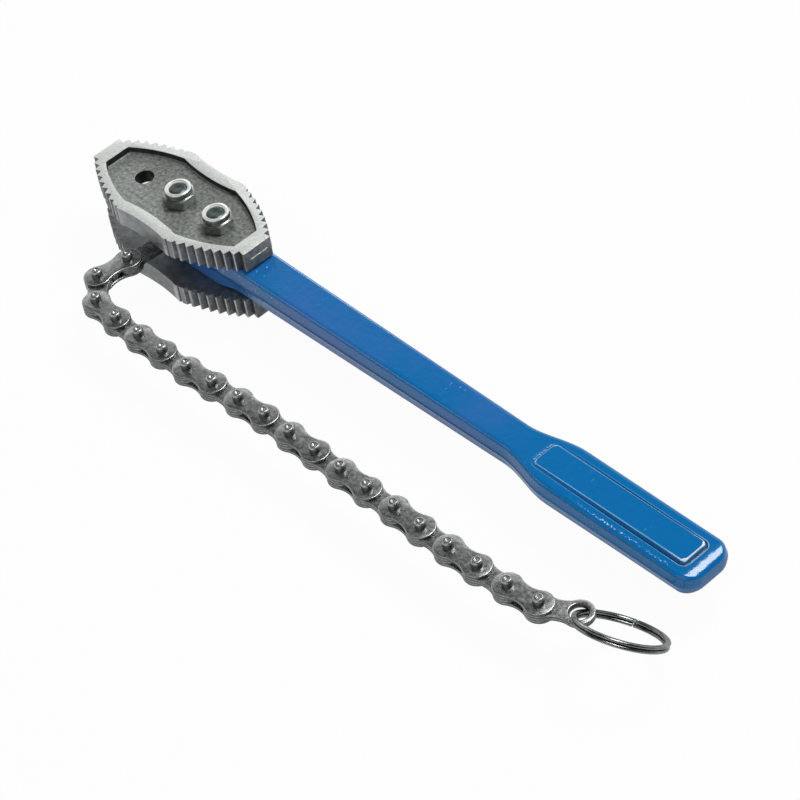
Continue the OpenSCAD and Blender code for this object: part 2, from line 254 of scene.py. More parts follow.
@dataclass(frozen=True)
class Steel:
    """An unpainted or plated steel surface: mottled tone, directional grain and fine pits, and where given
    painted shade in hollows and ridges lightened partly by rubbed wear and partly by painted highlight.
    """

    name: str
    tone: str
    deep: str
    roughness: tuple[float, float]
    mottle_mm: float
    grain_mm: float | tuple[float, float, float]
    grain_depth_mm: float
    pit_mm: float
    pit_depth_mm: float
    metallic: float = 1.0
    # Colours of the painted shade in hollows and of the ridges, partly rubbed wear and partly painted
    # highlight, and how sharp a bend takes them fully
    edges: tuple[str, str, float] | None = None

    def make(self) -> Material:
        """Builds the finish.

        Returns:
            The material.
        """
        material, tree = new_material(self.name)
        mottle = mask(tree, (pattern(tree, self.mottle_mm, 4.0, 0.6), 0.32, 0.68), kind="LINEAR")
        tone = layered(tree, self.deep, (mottle, self.tone))
        # Painted shade in hollows and painted highlight, with rubbed wear, on ridges
        if self.edges:
            tone = edged(tree, tone, *self.edges)
        grain = pattern(tree, self.grain_mm, 3.0)
        pits = pattern(tree, self.pit_mm, 3.0, 0.55)
        cover(
            tree,
            {
                "Base Color": tone,
                "Metallic": self.metallic,
                "Roughness": mask(tree, (grain, 0.3, 0.7, *self.roughness), kind="LINEAR"),
                "Normal": relief(tree, (grain, self.grain_depth_mm), (pits, self.pit_depth_mm)),
            },
        )
        return material


@dataclass(frozen=True)
class Enamel:
    """Sprayed gloss enamel on a forging, with orange peel and chips, a painted shade line along the parting
    line, painted shade and highlight lines on the panel's edges, and painted glints.

    Each size is in millimetres. Of a pair, the first is where a change starts and the second where it ends.
    """

    name: str = "blue_gloss_enamel"
    tone: str = "#0267A5"
    deep: str = "#2A65A8"
    # Painted shade line along the parting line
    parting_shade: str = "#053A70"
    # Painted shade in the panel's gutter and other hollows
    hollow: str = "#021B33"
    # Painted highlight on the panel's ridges
    ridge: str = "#86BEF0"
    # Painted glints on the panel's end and along the grip's near rim
    painted_glint: str = "#EEF6FF"
    chip: str = "#8FBCE0"
    roughness: float = 0.13
    cloud_mm: float = 45
    forging_mm: float = 3.6
    forging_depth_mm: float = 0.1
    peel_mm: float = 1.6
    peel_depth_mm: float = 0.018
    patch_mm: float = 28
    chip_mm: float = 1.7
    scuff_mm: tuple[float, float, float] = (0.7, 3.2, 0.7)
    thin_x: tuple[float, float] = (256, 322)
    worn_x: tuple[float, float] = (80, 250)
    parting_z: tuple[float, float] = (0.5, 0.95)
    parting_x: tuple[float, float] = (296, 322)
    panel_x: tuple[float, float] = (298, 404)
    panel_y: tuple[float, float] = (9.8, 10.6)
    # Where the panel's ridges whiten to a painted glint
    end_glint_x: tuple[float, float] = (386, 399)
    # Where the row of painted glints runs along the grip's near rim
    rim_y: float = -12.6
    rim_off_y: tuple[float, float] = (0.32, 0.8)
    rim_start_x: tuple[float, float] = (326, 356)
    rim_end_x: tuple[float, float] = (394, 400)
    rim_spot_mm: float = 0.9

    def wear(self, tree: Any, x: Any) -> Any:
        """Makes the mask of the chips and scuffs, which lie in patches, most of them near the head.

        Args:
            tree: Tree that takes the nodes.
            x: Socket with the distance along the handle, in millimetres.

        Returns:
            The socket with the mask.
        """
        bias = mask(tree, (x, *self.worn_x, 0.05, -0.13))
        patch = pattern(tree, self.patch_mm, 1.0)
        dense = add_node(tree, "ShaderNodeMath", {0: patch, 1: bias}, operation="ADD").outputs[0]
        dots = mask(tree, (pattern(tree, self.chip_mm, 0.0), 0.79, 0.86))
        strokes = mask(tree, (pattern(tree, self.scuff_mm, 0.0), 0.76, 0.84))
        marks = add_node(tree, "ShaderNodeMath", {0: dots, 1: strokes}, operation="MAXIMUM").outputs[0]
        worn = mask(tree, (dense, 0.5, 0.62))
        return add_node(tree, "ShaderNodeMath", {0: marks, 1: worn}, operation="MULTIPLY").outputs[0]

    def rim_glints(self, tree: Any, x: Any, y: Any) -> Any:
        """Makes the mask of the row of small painted glints along the grip's near rim.

        Args:
            tree: Tree that takes the nodes.
            x: Socket with the distance along the handle, in millimetres.
            y: Socket with the distance across it.

        Returns:
            The socket with the mask.
        """
        off = add_node(tree, "ShaderNodeMath", {0: y, 1: self.rim_y}, operation="SUBTRACT").outputs[0]
        off = add_node(tree, "ShaderNodeMath", {0: off}, operation="ABSOLUTE").outputs[0]
        return mask(
            tree,
            (off, *self.rim_off_y, 1.0, 0.0),
            (x, *self.rim_start_x),
            (x, *self.rim_end_x, 1.0, 0.0),
            (pattern(tree, self.rim_spot_mm, 1.0), 0.55, 0.75, 0.0, 0.85),
        )

    def make(self) -> Material:
        """Builds the finish.

        Returns:
            The material.
        """
        material, tree = new_material(self.name)
        place = add_node(tree, "ShaderNodeTexCoord").outputs["Object"]
        scaled = add_node(tree, "ShaderNodeMapping", {"Vector": place, "Scale": (1 / MM,) * 3})
        x, y, z = add_node(tree, "ShaderNodeSeparateXYZ", {"Vector": scaled.outputs["Vector"]}).outputs
        beside, level = (
            add_node(tree, "ShaderNodeMath", {0: axis}, operation="ABSOLUTE").outputs[0] for axis in (y, z)
        )
        thin = mask(tree, (pattern(tree, self.cloud_mm, 3.0), 0.3, 0.7), (x, *self.thin_x, 1.0, 0.0))
        paint = layered(
            tree,
            self.tone,
            (thin, self.deep),
            (self.wear(tree, x), self.chip),
            # Painted glints along the grip's near rim
            (self.rim_glints(tree, x, y), self.painted_glint),
        )
        # Ridge colour of the panel: painted highlight, whitening to a painted glint towards the panel's end
        ridge_highlight = layered(tree, self.ridge, (mask(tree, (x, *self.end_glint_x)), self.painted_glint))
        start, end = self.panel_x
        # Only the panel's edges take the painted shade and highlight
        panel = mask(
            tree, (beside, *self.panel_y, 1.0, 0.0), (x, start, start + 1), (x, end, end + 1, 1.0, 0.0)
        )
        # Mask of the painted shade line along the parting line, fading on the grip
        seam = mask(tree, (level, *self.parting_z, 1.0, 0.0), (x, *self.parting_x, 1.0, 0.1))
        # Painted shade in hollows and painted highlight on ridges, from how sharply the surface bends
        lined = edged(tree, paint, self.hollow, ridge_highlight, 0.04)
        forging, peel = pattern(tree, self.forging_mm, 2.0), pattern(tree, self.peel_mm, 1.0)
        cover(
            tree,
            {
                "Base Color": layered(tree, paint, (panel, lined), (seam, self.parting_shade)),
                "Roughness": self.roughness,
                "IOR": 1.5,
                "Normal": relief(tree, (forging, self.forging_depth_mm), (peel, self.peel_depth_mm)),
            },
        )
        return material


@dataclass(frozen=True)
class Nylon:
    """Moulded nylon: milky, soft gloss, with a faint uneven tone."""

    name: str
    tone: str
    deep: str
    roughness: float
    cloud_mm: float

    def make(self) -> Material:
        """Builds the finish.

        Returns:
            The material.
        """
        material, tree = new_material(self.name)
        tone = layered(tree, self.deep, (pattern(tree, self.cloud_mm, 2.0), self.tone))
        cover(tree, {"Base Color": tone, "Roughness": self.roughness, "IOR": 1.53})
        return material


class Finish(Enum):
    """The finishes of the wrench, each named for what the real surface is.

    A steel has its tones, roughness, size of mottle, size and depth of grain, size and depth of pits, and
    where needed its metallic share and the colours of its painted shade in hollows and of its ridges, which
    are partly rubbed wear and partly painted highlight.
    """

    # Gloss blue, sprayed thick over a forging: painted highlight lines and painted shade on the panel's
    # edges, a painted shade line along the parting line, painted glints
    ENAMEL = Enamel()
    # Drop-forged alloy steel, blackened: dull grey, with near-black painted shade in its hollows, and
    # lighter on its edges, partly rubbed wear and partly painted highlight
    FORGED = Steel(
        "blackened_forged_steel", "#9EA2A4", "#7A7E80", (0.42, 0.6), 5, 1.6, 0.03, 0.7, 0.02,
        edges=("#1C1E20", "#DCE0DE", 0.09),
    )
    # Milled and blackened tooth flanks: dark, with near-black painted shade at the root, and lighter towards
    # the crest, partly rubbed wear and partly painted highlight
    MILLED = Steel(
        "blackened_milled_teeth", "#7F8385", "#5B5F61", (0.42, 0.58), 3, 1.6, 0.03, 0.7, 0.02,
        edges=("#0C0D0E", "#DCE0DE", 0.07),
    )
    # Thin dull scale on the blunt ends, which are left as forged: dark grey, hardly any sheen
    SCALED_END = Steel("scaled_blunt_end", "#8A8E8D", "#606463", (0.5, 0.66), 3, 1.4, 0.04, 0.7, 0.02, 0.4)
    # Forging scale left on the walls of the pocket and the bores: nearly black
    SCALE = Steel("forging_scale", "#55585A", "#3A3D3E", (0.5, 0.66), 4, 1.4, 0.04, 0.7, 0.02)
    # Surface-ground face: bright, with long lines from the wheel, drawn coarser than real so that they show
    GROUND = Steel(
        "ground_steel_rim", "#E2E6E3", "#C4C9C6", (0.38, 0.54), 1.0, (4, 0.5, 0.5), 0.02, 0.6, 0.012, 0.5
    )
    # As-forged and shot-blasted floor of the pocket: sandy grey, no sheen, its grit drawn coarser than real
    BLASTED = Steel("shot_blasted_pocket", "#B4B9B5", "#767B78", (0.55, 0.72), 1.9, 0.9, 0.12, 0.5, 0.06)
    # Zinc plate over machined steel: near white on the rolled lip, partly bright zinc and partly painted
    # highlight; duller on the hexagon; darker on the bolt's sheared end, partly painted shade
    ZINC_LIP = Steel("zinc_plated_lip", "#F4F7F6", "#E6EAE9", (0.2, 0.3), 5, 1.6, 0.003, 0.6, 0.002, 0.5)
    ZINC_NUT = Steel("zinc_plated_hexagon", "#A6ACA8", "#7E8480", (0.24, 0.36), 3, 1.6, 0.004, 0.6, 0.003)
    ZINC_BOLT = Steel("zinc_plated_bolt_end", "#6C7876", "#4A5553", (0.34, 0.48), 3, 0.9, 0.01, 0.5, 0.006)
    # Oiled hardened strip, punched: mid grey with a soft mottle
    STRIP = Steel("oiled_chain_plate", "#CACFCC", "#949996", (0.22, 0.34), 2.4, 1.8, 0.012, 0.6, 0.006)
    # Sheared edges of the plates and shanks of the pins: darker than the faces, partly old oil and partly
    # painted shade
    SHEARED = Steel("oil_dark_sheared_edge", "#7A7F7C", "#5A5E5C", (0.34, 0.5), 3, 1.2, 0.01, 0.6, 0.006)
    # Corners of the plates and pins and crests of the teeth: lighter, partly rubbed bright by handling and
    # partly painted highlight
    WORN = Steel("rubbed_bright_corner", "#CDD1CF", "#A4A8A6", (0.3, 0.44), 2, 1.2, 0.006, 0.6, 0.004)
    # Hardened turned pin: smoother and a little darker than the plates, with marks drawn coarser than real
    PIN = Steel(
        "hardened_chain_pin", "#A2A7A5", "#7E8381", (0.26, 0.36), 3, (0.9, 0.9, 2.5), 0.002, 0.6, 0.001
    )
    # Drawn wire, dull plated: smooth and dark, with faint waves left by drawing
    WIRE = Steel("drawn_ring_wire", "#8E9290", "#6C706E", (0.16, 0.28), 5, 2.4, 0.006, 0.6, 0.003)
    # Natural nylon, moulded: milky white with a soft gloss
    NYLON = Nylon("moulded_nylon", "#E9EAE4", "#DADCD6", 0.45, 3)


def skin(rings: list[Ring], loop: bool = False) -> BMesh:
    """Joins rings of points into one closed surface.

    Args:
        rings: Rings of equal length, in order, in metres.
        loop: Whether the last ring joins the first; otherwise both ends are capped.

    Returns:
        The mesh, with its faces pointing outwards.
    """
    mesh = bmesh.new()
    rows = [[mesh.verts.new(point) for point in ring] for ring in rings]
    count = len(rows[0])
    pairs = list(zip(rows, rows[1:]))
    if loop:
        pairs.append((rows[-1], rows[0]))
    for low, high in pairs:
        for j in range(count):
            k = (j + 1) % count
            mesh.faces.new((low[j], low[k], high[k], high[j]))
    if not loop:
        mesh.faces.new(rows[0])
        mesh.faces.new(rows[-1])
    bmesh.ops.recalc_face_normals(mesh, faces=mesh.faces)
    return mesh


def as_object(name: str, mesh: BMesh, sharp: float = SHARP) -> Object:
    """Turns a mesh into an object at the origin, shaded smooth up to an angle.

    Args:
        name: Name of the piece.
        mesh: Finished mesh, which is freed.
        sharp: Angle in degrees past which an edge stays sharp.

    Returns:
        The object, linked to the scene.
    """
    data = bpy.data.meshes.new(name)
    mesh.to_mesh(data)
    mesh.free()
    data.shade_smooth()
    data.set_sharp_from_angle(angle=math.radians(sharp))
    piece = bpy.data.objects.new(name, data)
    bpy.context.scene.collection.objects.link(piece)
    return piece


def applied(piece: Object, sharp: float | None = None) -> Object:
    """Turns what a piece's modifiers make into its own plain mesh.

    Args:
        piece: Piece with modifiers.
        sharp: Angle in degrees past which an edge is made sharp again, if given.

    Returns:
        The same piece, without modifiers.
    """
    bpy.context.view_layer.update()
    graph = bpy.context.evaluated_depsgraph_get()
    data = bpy.data.meshes.new_from_object(piece.evaluated_get(graph))
    piece.modifiers.clear()
    old = piece.data
    piece.data = data
    bpy.data.meshes.remove(old)
    if sharp is not None:
        data.shade_smooth()
        data.set_sharp_from_angle(angle=math.radians(sharp))
    return piece


def combine(
    piece: Object, others: list[Object], operation: str = "DIFFERENCE", sharp: float = SHARP
) -> Object:
    """Cuts shapes out of a piece or joins them to it, and removes them.

    Args:
        piece: Piece that is changed.
        others: Shapes that are taken out of it or joined to it.
        operation: Blender's name for what is done with them.
        sharp: Angle in degrees past which an edge stays sharp.

    Returns:
        The changed piece.
    """
    for other in others:
        change = piece.modifiers.new("combine", "BOOLEAN")
        change.operation = operation
        change.solver = "EXACT"
        change.object = other
    applied(piece, sharp)
    for other in others:
        bpy.data.objects.remove(other)
    return piece


def mark_faces(piece: Object, mark: str, test: Callable[[MeshPolygon], bool]) -> None:
    """Marks the faces of a shape that take another finish.

    Args:
        piece: Shape that is marked.
        mark: Name of the mark, trim or edge.
        test: Says whether a face gets the mark.
    """
    layer = piece.data.attributes.new(mark, "BOOLEAN", "FACE")
    for face in piece.data.polygons:
        layer.data[face.index].value = test(face)


def is_upright(face: MeshPolygon) -> bool:
    """Tells whether a face stands upright, as the sheared edge of a plate does."""
    return abs(face.normal.z) < UPRIGHT


def is_eased(face: MeshPolygon) -> bool:
    """Tells whether a face slopes, as the eased corner between a plate's face and edge does."""
    return UPRIGHT <= abs(face.normal.z) < LEVEL


def dress(piece: Object, finishes: list[Material]) -> None:
    """Gives a piece its finishes.

    Args:
        piece: Piece that is dressed.
        finishes: Materials of its level, upright and eased faces.
    """
    for finish in finishes:
        piece.data.materials.append(finish)
    # Upright faces take the darker finish, partly painted shade, and eased faces the lighter one, partly
    # painted highlight
    for face in piece.data.polygons:
        face.material_index = 1 if is_upright(face) else 2 if is_eased(face) else 0


def turned_rings(profile: list[tuple[float, float]], count: int = TURNED, x: float = 0.0) -> list[Ring]:
    """Turns a profile round an upright axis.

    Args:
        profile: Radius and height of each ring, in millimetres.
        count: Points in a ring.
        x: Where the axis crosses the X axis.

    Returns:
        One ring for each point of the profile, in metres.
    """
    turns = spread(0, 2 * math.pi, count)
    return [[Vector((x + r * math.cos(a), r * math.sin(a), z)) * MM for a in turns] for r, z in profile]


def drill(x: float, radius: float, reach: float) -> Object:
    """Makes an upright cylinder that cuts a hole.

    Args:
        x: Where its axis crosses the X axis, in millimetres.
        radius: Its radius.
        reach: How far it reaches to each side of the plane Z = 0.

    Returns:
        The object.
    """
    return as_object("drill", skin(turned_rings([(radius, -reach), (radius, reach)], DRILLED, x)))


def smooth(t: float) -> float:
    """Eases from 0 to 1."""
    t = min(1.0, max(0.0, t))
    return t * t * (3 - 2 * t)


def spread(low: float, high: float, count: int) -> list[float]:
    """Lists evenly spaced values from low, without high."""
    return [low + (high - low) * i / count for i in range(count)]


def settle(piece: Object, body: str, slot: str, *nodes: str) -> None:
    """Fixes a finished piece to its body in place of the nodes it stands for.

    Args:
        piece: Finished piece at the origin.
        body: Body that it moves with.
        slot: Not used.
        *nodes: Nodes that it replaces.
    """
    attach(piece, body)
    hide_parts(*nodes)
    LOG.info("%s rides on %s, %d faces", piece.name, body, len(piece.data.polygons))


@dataclass
class Placer:
    """A Geometry Nodes tree that sets copies of one shape along a straight line."""

    tree: Any = None

    def __post_init__(self) -> None:
        """Builds the tree with named inputs for the shape, line, turn and finish."""
        self.tree = bpy.data.node_groups.new("copies_along_line", "GeometryNodeTree")
        face = self.tree.interface
        face.new_socket("Geometry", in_out="INPUT", socket_type="NodeSocketGeometry")
        for name, kind in (
            ("Shape", "NodeSocketObject"),
            ("First place", "NodeSocketVector"),
            ("Step", "NodeSocketVector"),
            ("Copies", "NodeSocketInt"),
            ("Turn", "NodeSocketRotation"),
            ("Finish", "NodeSocketMaterial"),
            ("Trim finish", "NodeSocketMaterial"),
            ("Edge finish", "NodeSocketMaterial"),
        ):
            face.new_socket(name, in_out="INPUT", socket_type=kind)
        face.new_socket("Geometry", in_out="OUTPUT", socket_type="NodeSocketGeometry")
        given = add_node(self.tree, "NodeGroupInput").outputs
        line = add_node(
            self.tree,
            "GeometryNodeMeshLine",
            {"Count": given["Copies"], "Start Location": given["First place"], "Offset": given["Step"]},
            mode="OFFSET",
        )
        shape = add_node(self.tree, "GeometryNodeObjectInfo", {"Object": given["Shape"]})
        copies = add_node(
            self.tree,
            "GeometryNodeInstanceOnPoints",
            {
                "Points": line.outputs["Mesh"],
                "Instance": shape.outputs["Geometry"],
                "Rotation": given["Turn"],
            },
        )
        real = add_node(self.tree, "GeometryNodeRealizeInstances", {"Geometry": copies.outputs["Instances"]})
        dressed = add_node(
            self.tree,
            "GeometryNodeSetMaterial",
            {"Geometry": real.outputs["Geometry"], "Material": given["Finish"]},
        )
        for mark in ("trim", "edge"):
            marked = add_node(
                self.tree, "GeometryNodeInputNamedAttribute", {"Name": mark}, data_type="BOOLEAN"
            )
            dressed = add_node(
                self.tree,
                "GeometryNodeSetMaterial",
                {
                    "Geometry": dressed.outputs["Geometry"],
                    "Selection": marked.outputs["Attribute"],
                    "Material": given[f"{mark.capitalize()} finish"],
                },
            )
        add_node(self.tree, "NodeGroupOutput", {"Geometry": dressed.outputs["Geometry"]})

    def place(
        self,
        name: str,
        shape: Object,
        first: Vector,
        step: Vector,
        copies: int,
        heading: float,
        finish: Material,
        trim_finish: Material | None = None,
        edge_finish: Material | None = None,
    ) -> Object:
        """Sets copies of a shape along a line as one plain mesh.

        Args:
            name: Name of the new piece.
            shape: Shape that is repeated.
            first: Place of the first copy, in millimetres.
            step: Step from each copy to the next, in millimetres.
            copies: How many copies there are.
            heading: Turn of each copy about Z, in degrees.
            finish: Material of the piece.
            trim_finish: Material of its faces that are marked as trim, if they differ.
            edge_finish: Material of its faces that are marked as edge, if they differ.

        Returns:
            The piece, at the origin.
        """
        piece = bpy.data.objects.new(name, bpy.data.meshes.new(name))
        bpy.context.scene.collection.objects.link(piece)
        change = piece.modifiers.new("copies", "NODES")
        change.node_group = self.tree
        values = {
            "Shape": shape,
            "First place": tuple(first * MM),
            "Step": tuple(step * MM),
            "Copies": copies,
            "Turn": (0.0, 0.0, math.radians(heading)),
            "Finish": finish,
            "Trim finish": trim_finish or finish,
            "Edge finish": edge_finish or finish,
        }
        for item in self.tree.interface.items_tree:
            if item.in_out == "INPUT" and item.name in values:
                change[item.identifier] = values[item.name]
        return applied(piece)


@dataclass(frozen=True)
class ForgedHandle:
    """The drop-forged handle: forked head, tapering neck and flared grip with a raised panel."""

    end_x: float = 410.0
    head_r: float = 13.0
    head_half_t: float = 10.56
    head_flat_x: float = 66.0
    head_blend: float = 18.0
    head_edge_r: float = 1.2
    neck_w: tuple[float, float] = (24.4, 20.2)
    neck_t: tuple[float, float] = (18.4, 15.2)
    flare_x: float = 282.0
    flare_len: float = 34.0
    grip_w: float = 32.0
    grip_t_end: float = 12.4
    grip_end_r: float = 9.0
    edge_r: float = 2.6
    side_draft: float = 0.7
    seam_h: float = 0.35
    panel_w: float = 16.6
    panel_len: float = 99.0
    panel_end_x: float = 400.6
    panel_r: float = 3.0
    panel_half_t: float = 8.1
    panel_ramp: float = 0.8
    gutter_w: float = 1.7
    gutter_depth: float = 0.5
    gutter_off: float = 0.6
    gutter_lift: float = 1.5
    slot_half_h: float = 3.68
    slot_back_x: float = 44.0
    cut_reach: float = 20.0
    neck_x: float = 86.0
    seam_zs: tuple[float, float, float] = (0.45, 0.8, 0.95)
    panel_zone: tuple[float, float] = (9.9, 7.2)
    panel_room: float = 10.2
    sharp: float = 40.0

    def head_share(self, x: float) -> float:
        """Says how much of the head's section is left at a station."""
        return 1 - smooth((x - self.head_flat_x) / self.head_blend)

    def end_round(self, x: float, drop: float) -> float:
        """Says how far the rounded end draws a side in at a station.

        Args:
            x: Station along the handle.
            drop: What it draws in by at the very end.

        Returns:
            The distance, in millimetres.
        """
        t = (x - self.end_x) / self.grip_end_r + 1
        return 0.0 if t <= 0 else drop * (1 - math.sqrt(max(0.0, 1 - t * t)))

    def half_neck(self, x: float, first: float, last: float) -> float:
        """Gives half a size of the neck, which tapers from first at the bolt to last at the flare."""
        t = min(1.0, max(0.0, (x - HANDLE_BOLT_X) / (self.flare_x - HANDLE_BOLT_X)))
        return (first + (last - first) * t) / 2

    def half_w(self, x: float) -> float:
        """Gives half the width at a station.

        Args:
            x: Station along the handle.

        Returns:
            The distance from the middle line, in millimetres.
        """
        if x < CHAIN_BOLT_X:
            return math.sqrt(max(0.0, self.head_r**2 - (CHAIN_BOLT_X - x) ** 2))
        neck = self.half_neck(x, *self.neck_w)
        bar = neck + (self.grip_w / 2 - neck) * smooth((x - self.flare_x) / self.flare_len)
        head = self.head_share(x)
        return self.head_r * head + bar * (1 - head) - self.end_round(x, self.grip_end_r)

    def half_t(self, x: float) -> float:
        """Gives half the thickness at a station, without the panel.

        Args:
            x: Station along the handle.

        Returns:
            The height above the middle plane, in millimetres.
        """
        neck = self.half_neck(x, *self.neck_t)
        bar = neck + (self.grip_t_end / 2 - neck) * smooth((x - self.flare_x) / (self.end_x - self.flare_x))
        head = self.head_share(x)
        return self.head_half_t * head + bar * (1 - head) - self.end_round(x, self.grip_t_end / 4)

    def face_z(self, x: float, y: float) -> float:
        """Gives the height of the top face at a point, with its panel and the gutter round that.

        Args:
            x: Station along the handle.
            y: Distance from the middle line.

        Returns:
            The height, in millimetres.
        """
        dx = abs(x - self.panel_end_x + self.panel_len / 2) - self.panel_len / 2 + self.panel_r
        dy = abs(y) - self.panel_w / 2 + self.panel_r
        outside = math.hypot(max(dx, 0), max(dy, 0)) + min(max(dx, dy), 0) - self.panel_r
        base = self.half_t(x)
        lift = max(0.0, self.panel_half_t - base)
        bed = max(0.0, 1 - abs(2 * outside / self.gutter_w - self.gutter_off))
        depth = self.gutter_depth * min(1.0, lift / self.gutter_lift)
        return base + lift * smooth(-outside / self.panel_ramp) - depth * smooth(bed)

    def stations(self) -> list[float]:
        """Lists the stations of the loft, closest where the shape turns.

        Returns:
            Distances along the handle, in millimetres.
        """
        nose = [CHAIN_BOLT_X - self.head_r * math.cos(math.radians(a)) for a in spread(5, 90, 16)]
        panel_x = self.panel_end_x - self.panel_len
        round_x = self.end_x - self.grip_end_r
        cap = [round_x + self.grip_end_r * math.sin(math.radians(a)) for a in spread(21, 90, 17)]
        stops = [
            (CHAIN_BOLT_X, 6),
            (HANDLE_BOLT_X, 16),
            (self.neck_x, 26),
            (self.flare_x - 6, 20),
            (panel_x - 1, 28),
            (panel_x + 5, 28),
            (self.panel_end_x - 5, 40),
            (round_x + 3, 0),
        ]
        runs = [spread(low, high, count) for (low, count), (high, _) in zip(stops, stops[1:])]
        return nose + [x for run in runs for x in run] + cap + [self.end_x]

    def section(self, x: float) -> Ring:
        """Draws the section at a station.

        Args:
            x: Station along the handle.

        Returns:
            The points of the section, once round, in metres.
        """
        w, t, head = self.half_w(x), self.half_t(x), self.head_share(x)
        edge = min(self.head_edge_r * head + self.edge_r * (1 - head), 0.45 * w, 0.8 * t)
        draft = self.side_draft * (1 - head)
        seam = self.seam_h * (1 - head) * min(1.0, (self.end_x - x) / self.grip_end_r)
        top = w - draft - edge
        crest, foot, base = self.seam_zs
        side = [(w + seam, 0.0), (w + seam, crest), (w + 0.25 * seam, foot)]
        side += [(w - draft * s, base + (t - edge - base) * s) for s in (0.0, 0.35, 0.7)]
        side += [
            (top + edge * math.cos(a), t - edge + edge * math.sin(a))
            for a in (math.pi / 2 * i / 9 for i in range(10))
        ]
        outer, inner = (y * min(1.0, top / self.panel_room) for y in self.panel_zone)
        face = spread(top, outer, 4)[1:] + spread(outer, inner, 16) + spread(inner, 0, 8)
        quarter = side + [(y, self.face_z(x, y)) for y in face]
        half = quarter + [(0.0, self.face_z(x, 0))] + [(-y, z) for y, z in reversed(quarter)]
        whole = half + [(y, -z) for y, z in reversed(half[1:-1])]
        return [Vector((x, y, z)) * MM for y, z in whole]

    def build(self, finish: Material) -> None:
        """Lofts the handle, cuts its fork and bores, and dresses it.

        Args:
            finish: Material of the handle.
        """
        piece = as_object("forged_handle", skin([self.section(x) for x in self.stations()]), self.sharp)
        reach = self.cut_reach
        drills = [drill(x, BOLT_HOLE_R, reach) for x in (CHAIN_BOLT_X, HANDLE_BOLT_X)]
        fork = bmesh.new()
        bmesh.ops.create_cube(fork, size=2 * MM)
        middle = Matrix.Translation(Vector((self.slot_back_x - reach, 0, 0)) * MM)
        fork.transform(middle @ Matrix.Diagonal((reach, reach, self.slot_half_h, 1)))
        combine(piece, [*drills, as_object("fork_cutter", fork)], sharp=self.sharp)
        piece.data.materials.append(finish)
        settle(piece, "wrench", "blue_enamel", "handle")


# Finishes of a jaw's faces, in the order of its materials
JAW_FINISHES = (
    Finish.FORGED,
    Finish.GROUND,
    Finish.BLASTED,
    Finish.SCALE,
    Finish.MILLED,
    Finish.WORN,
    Finish.SCALED_END,
)


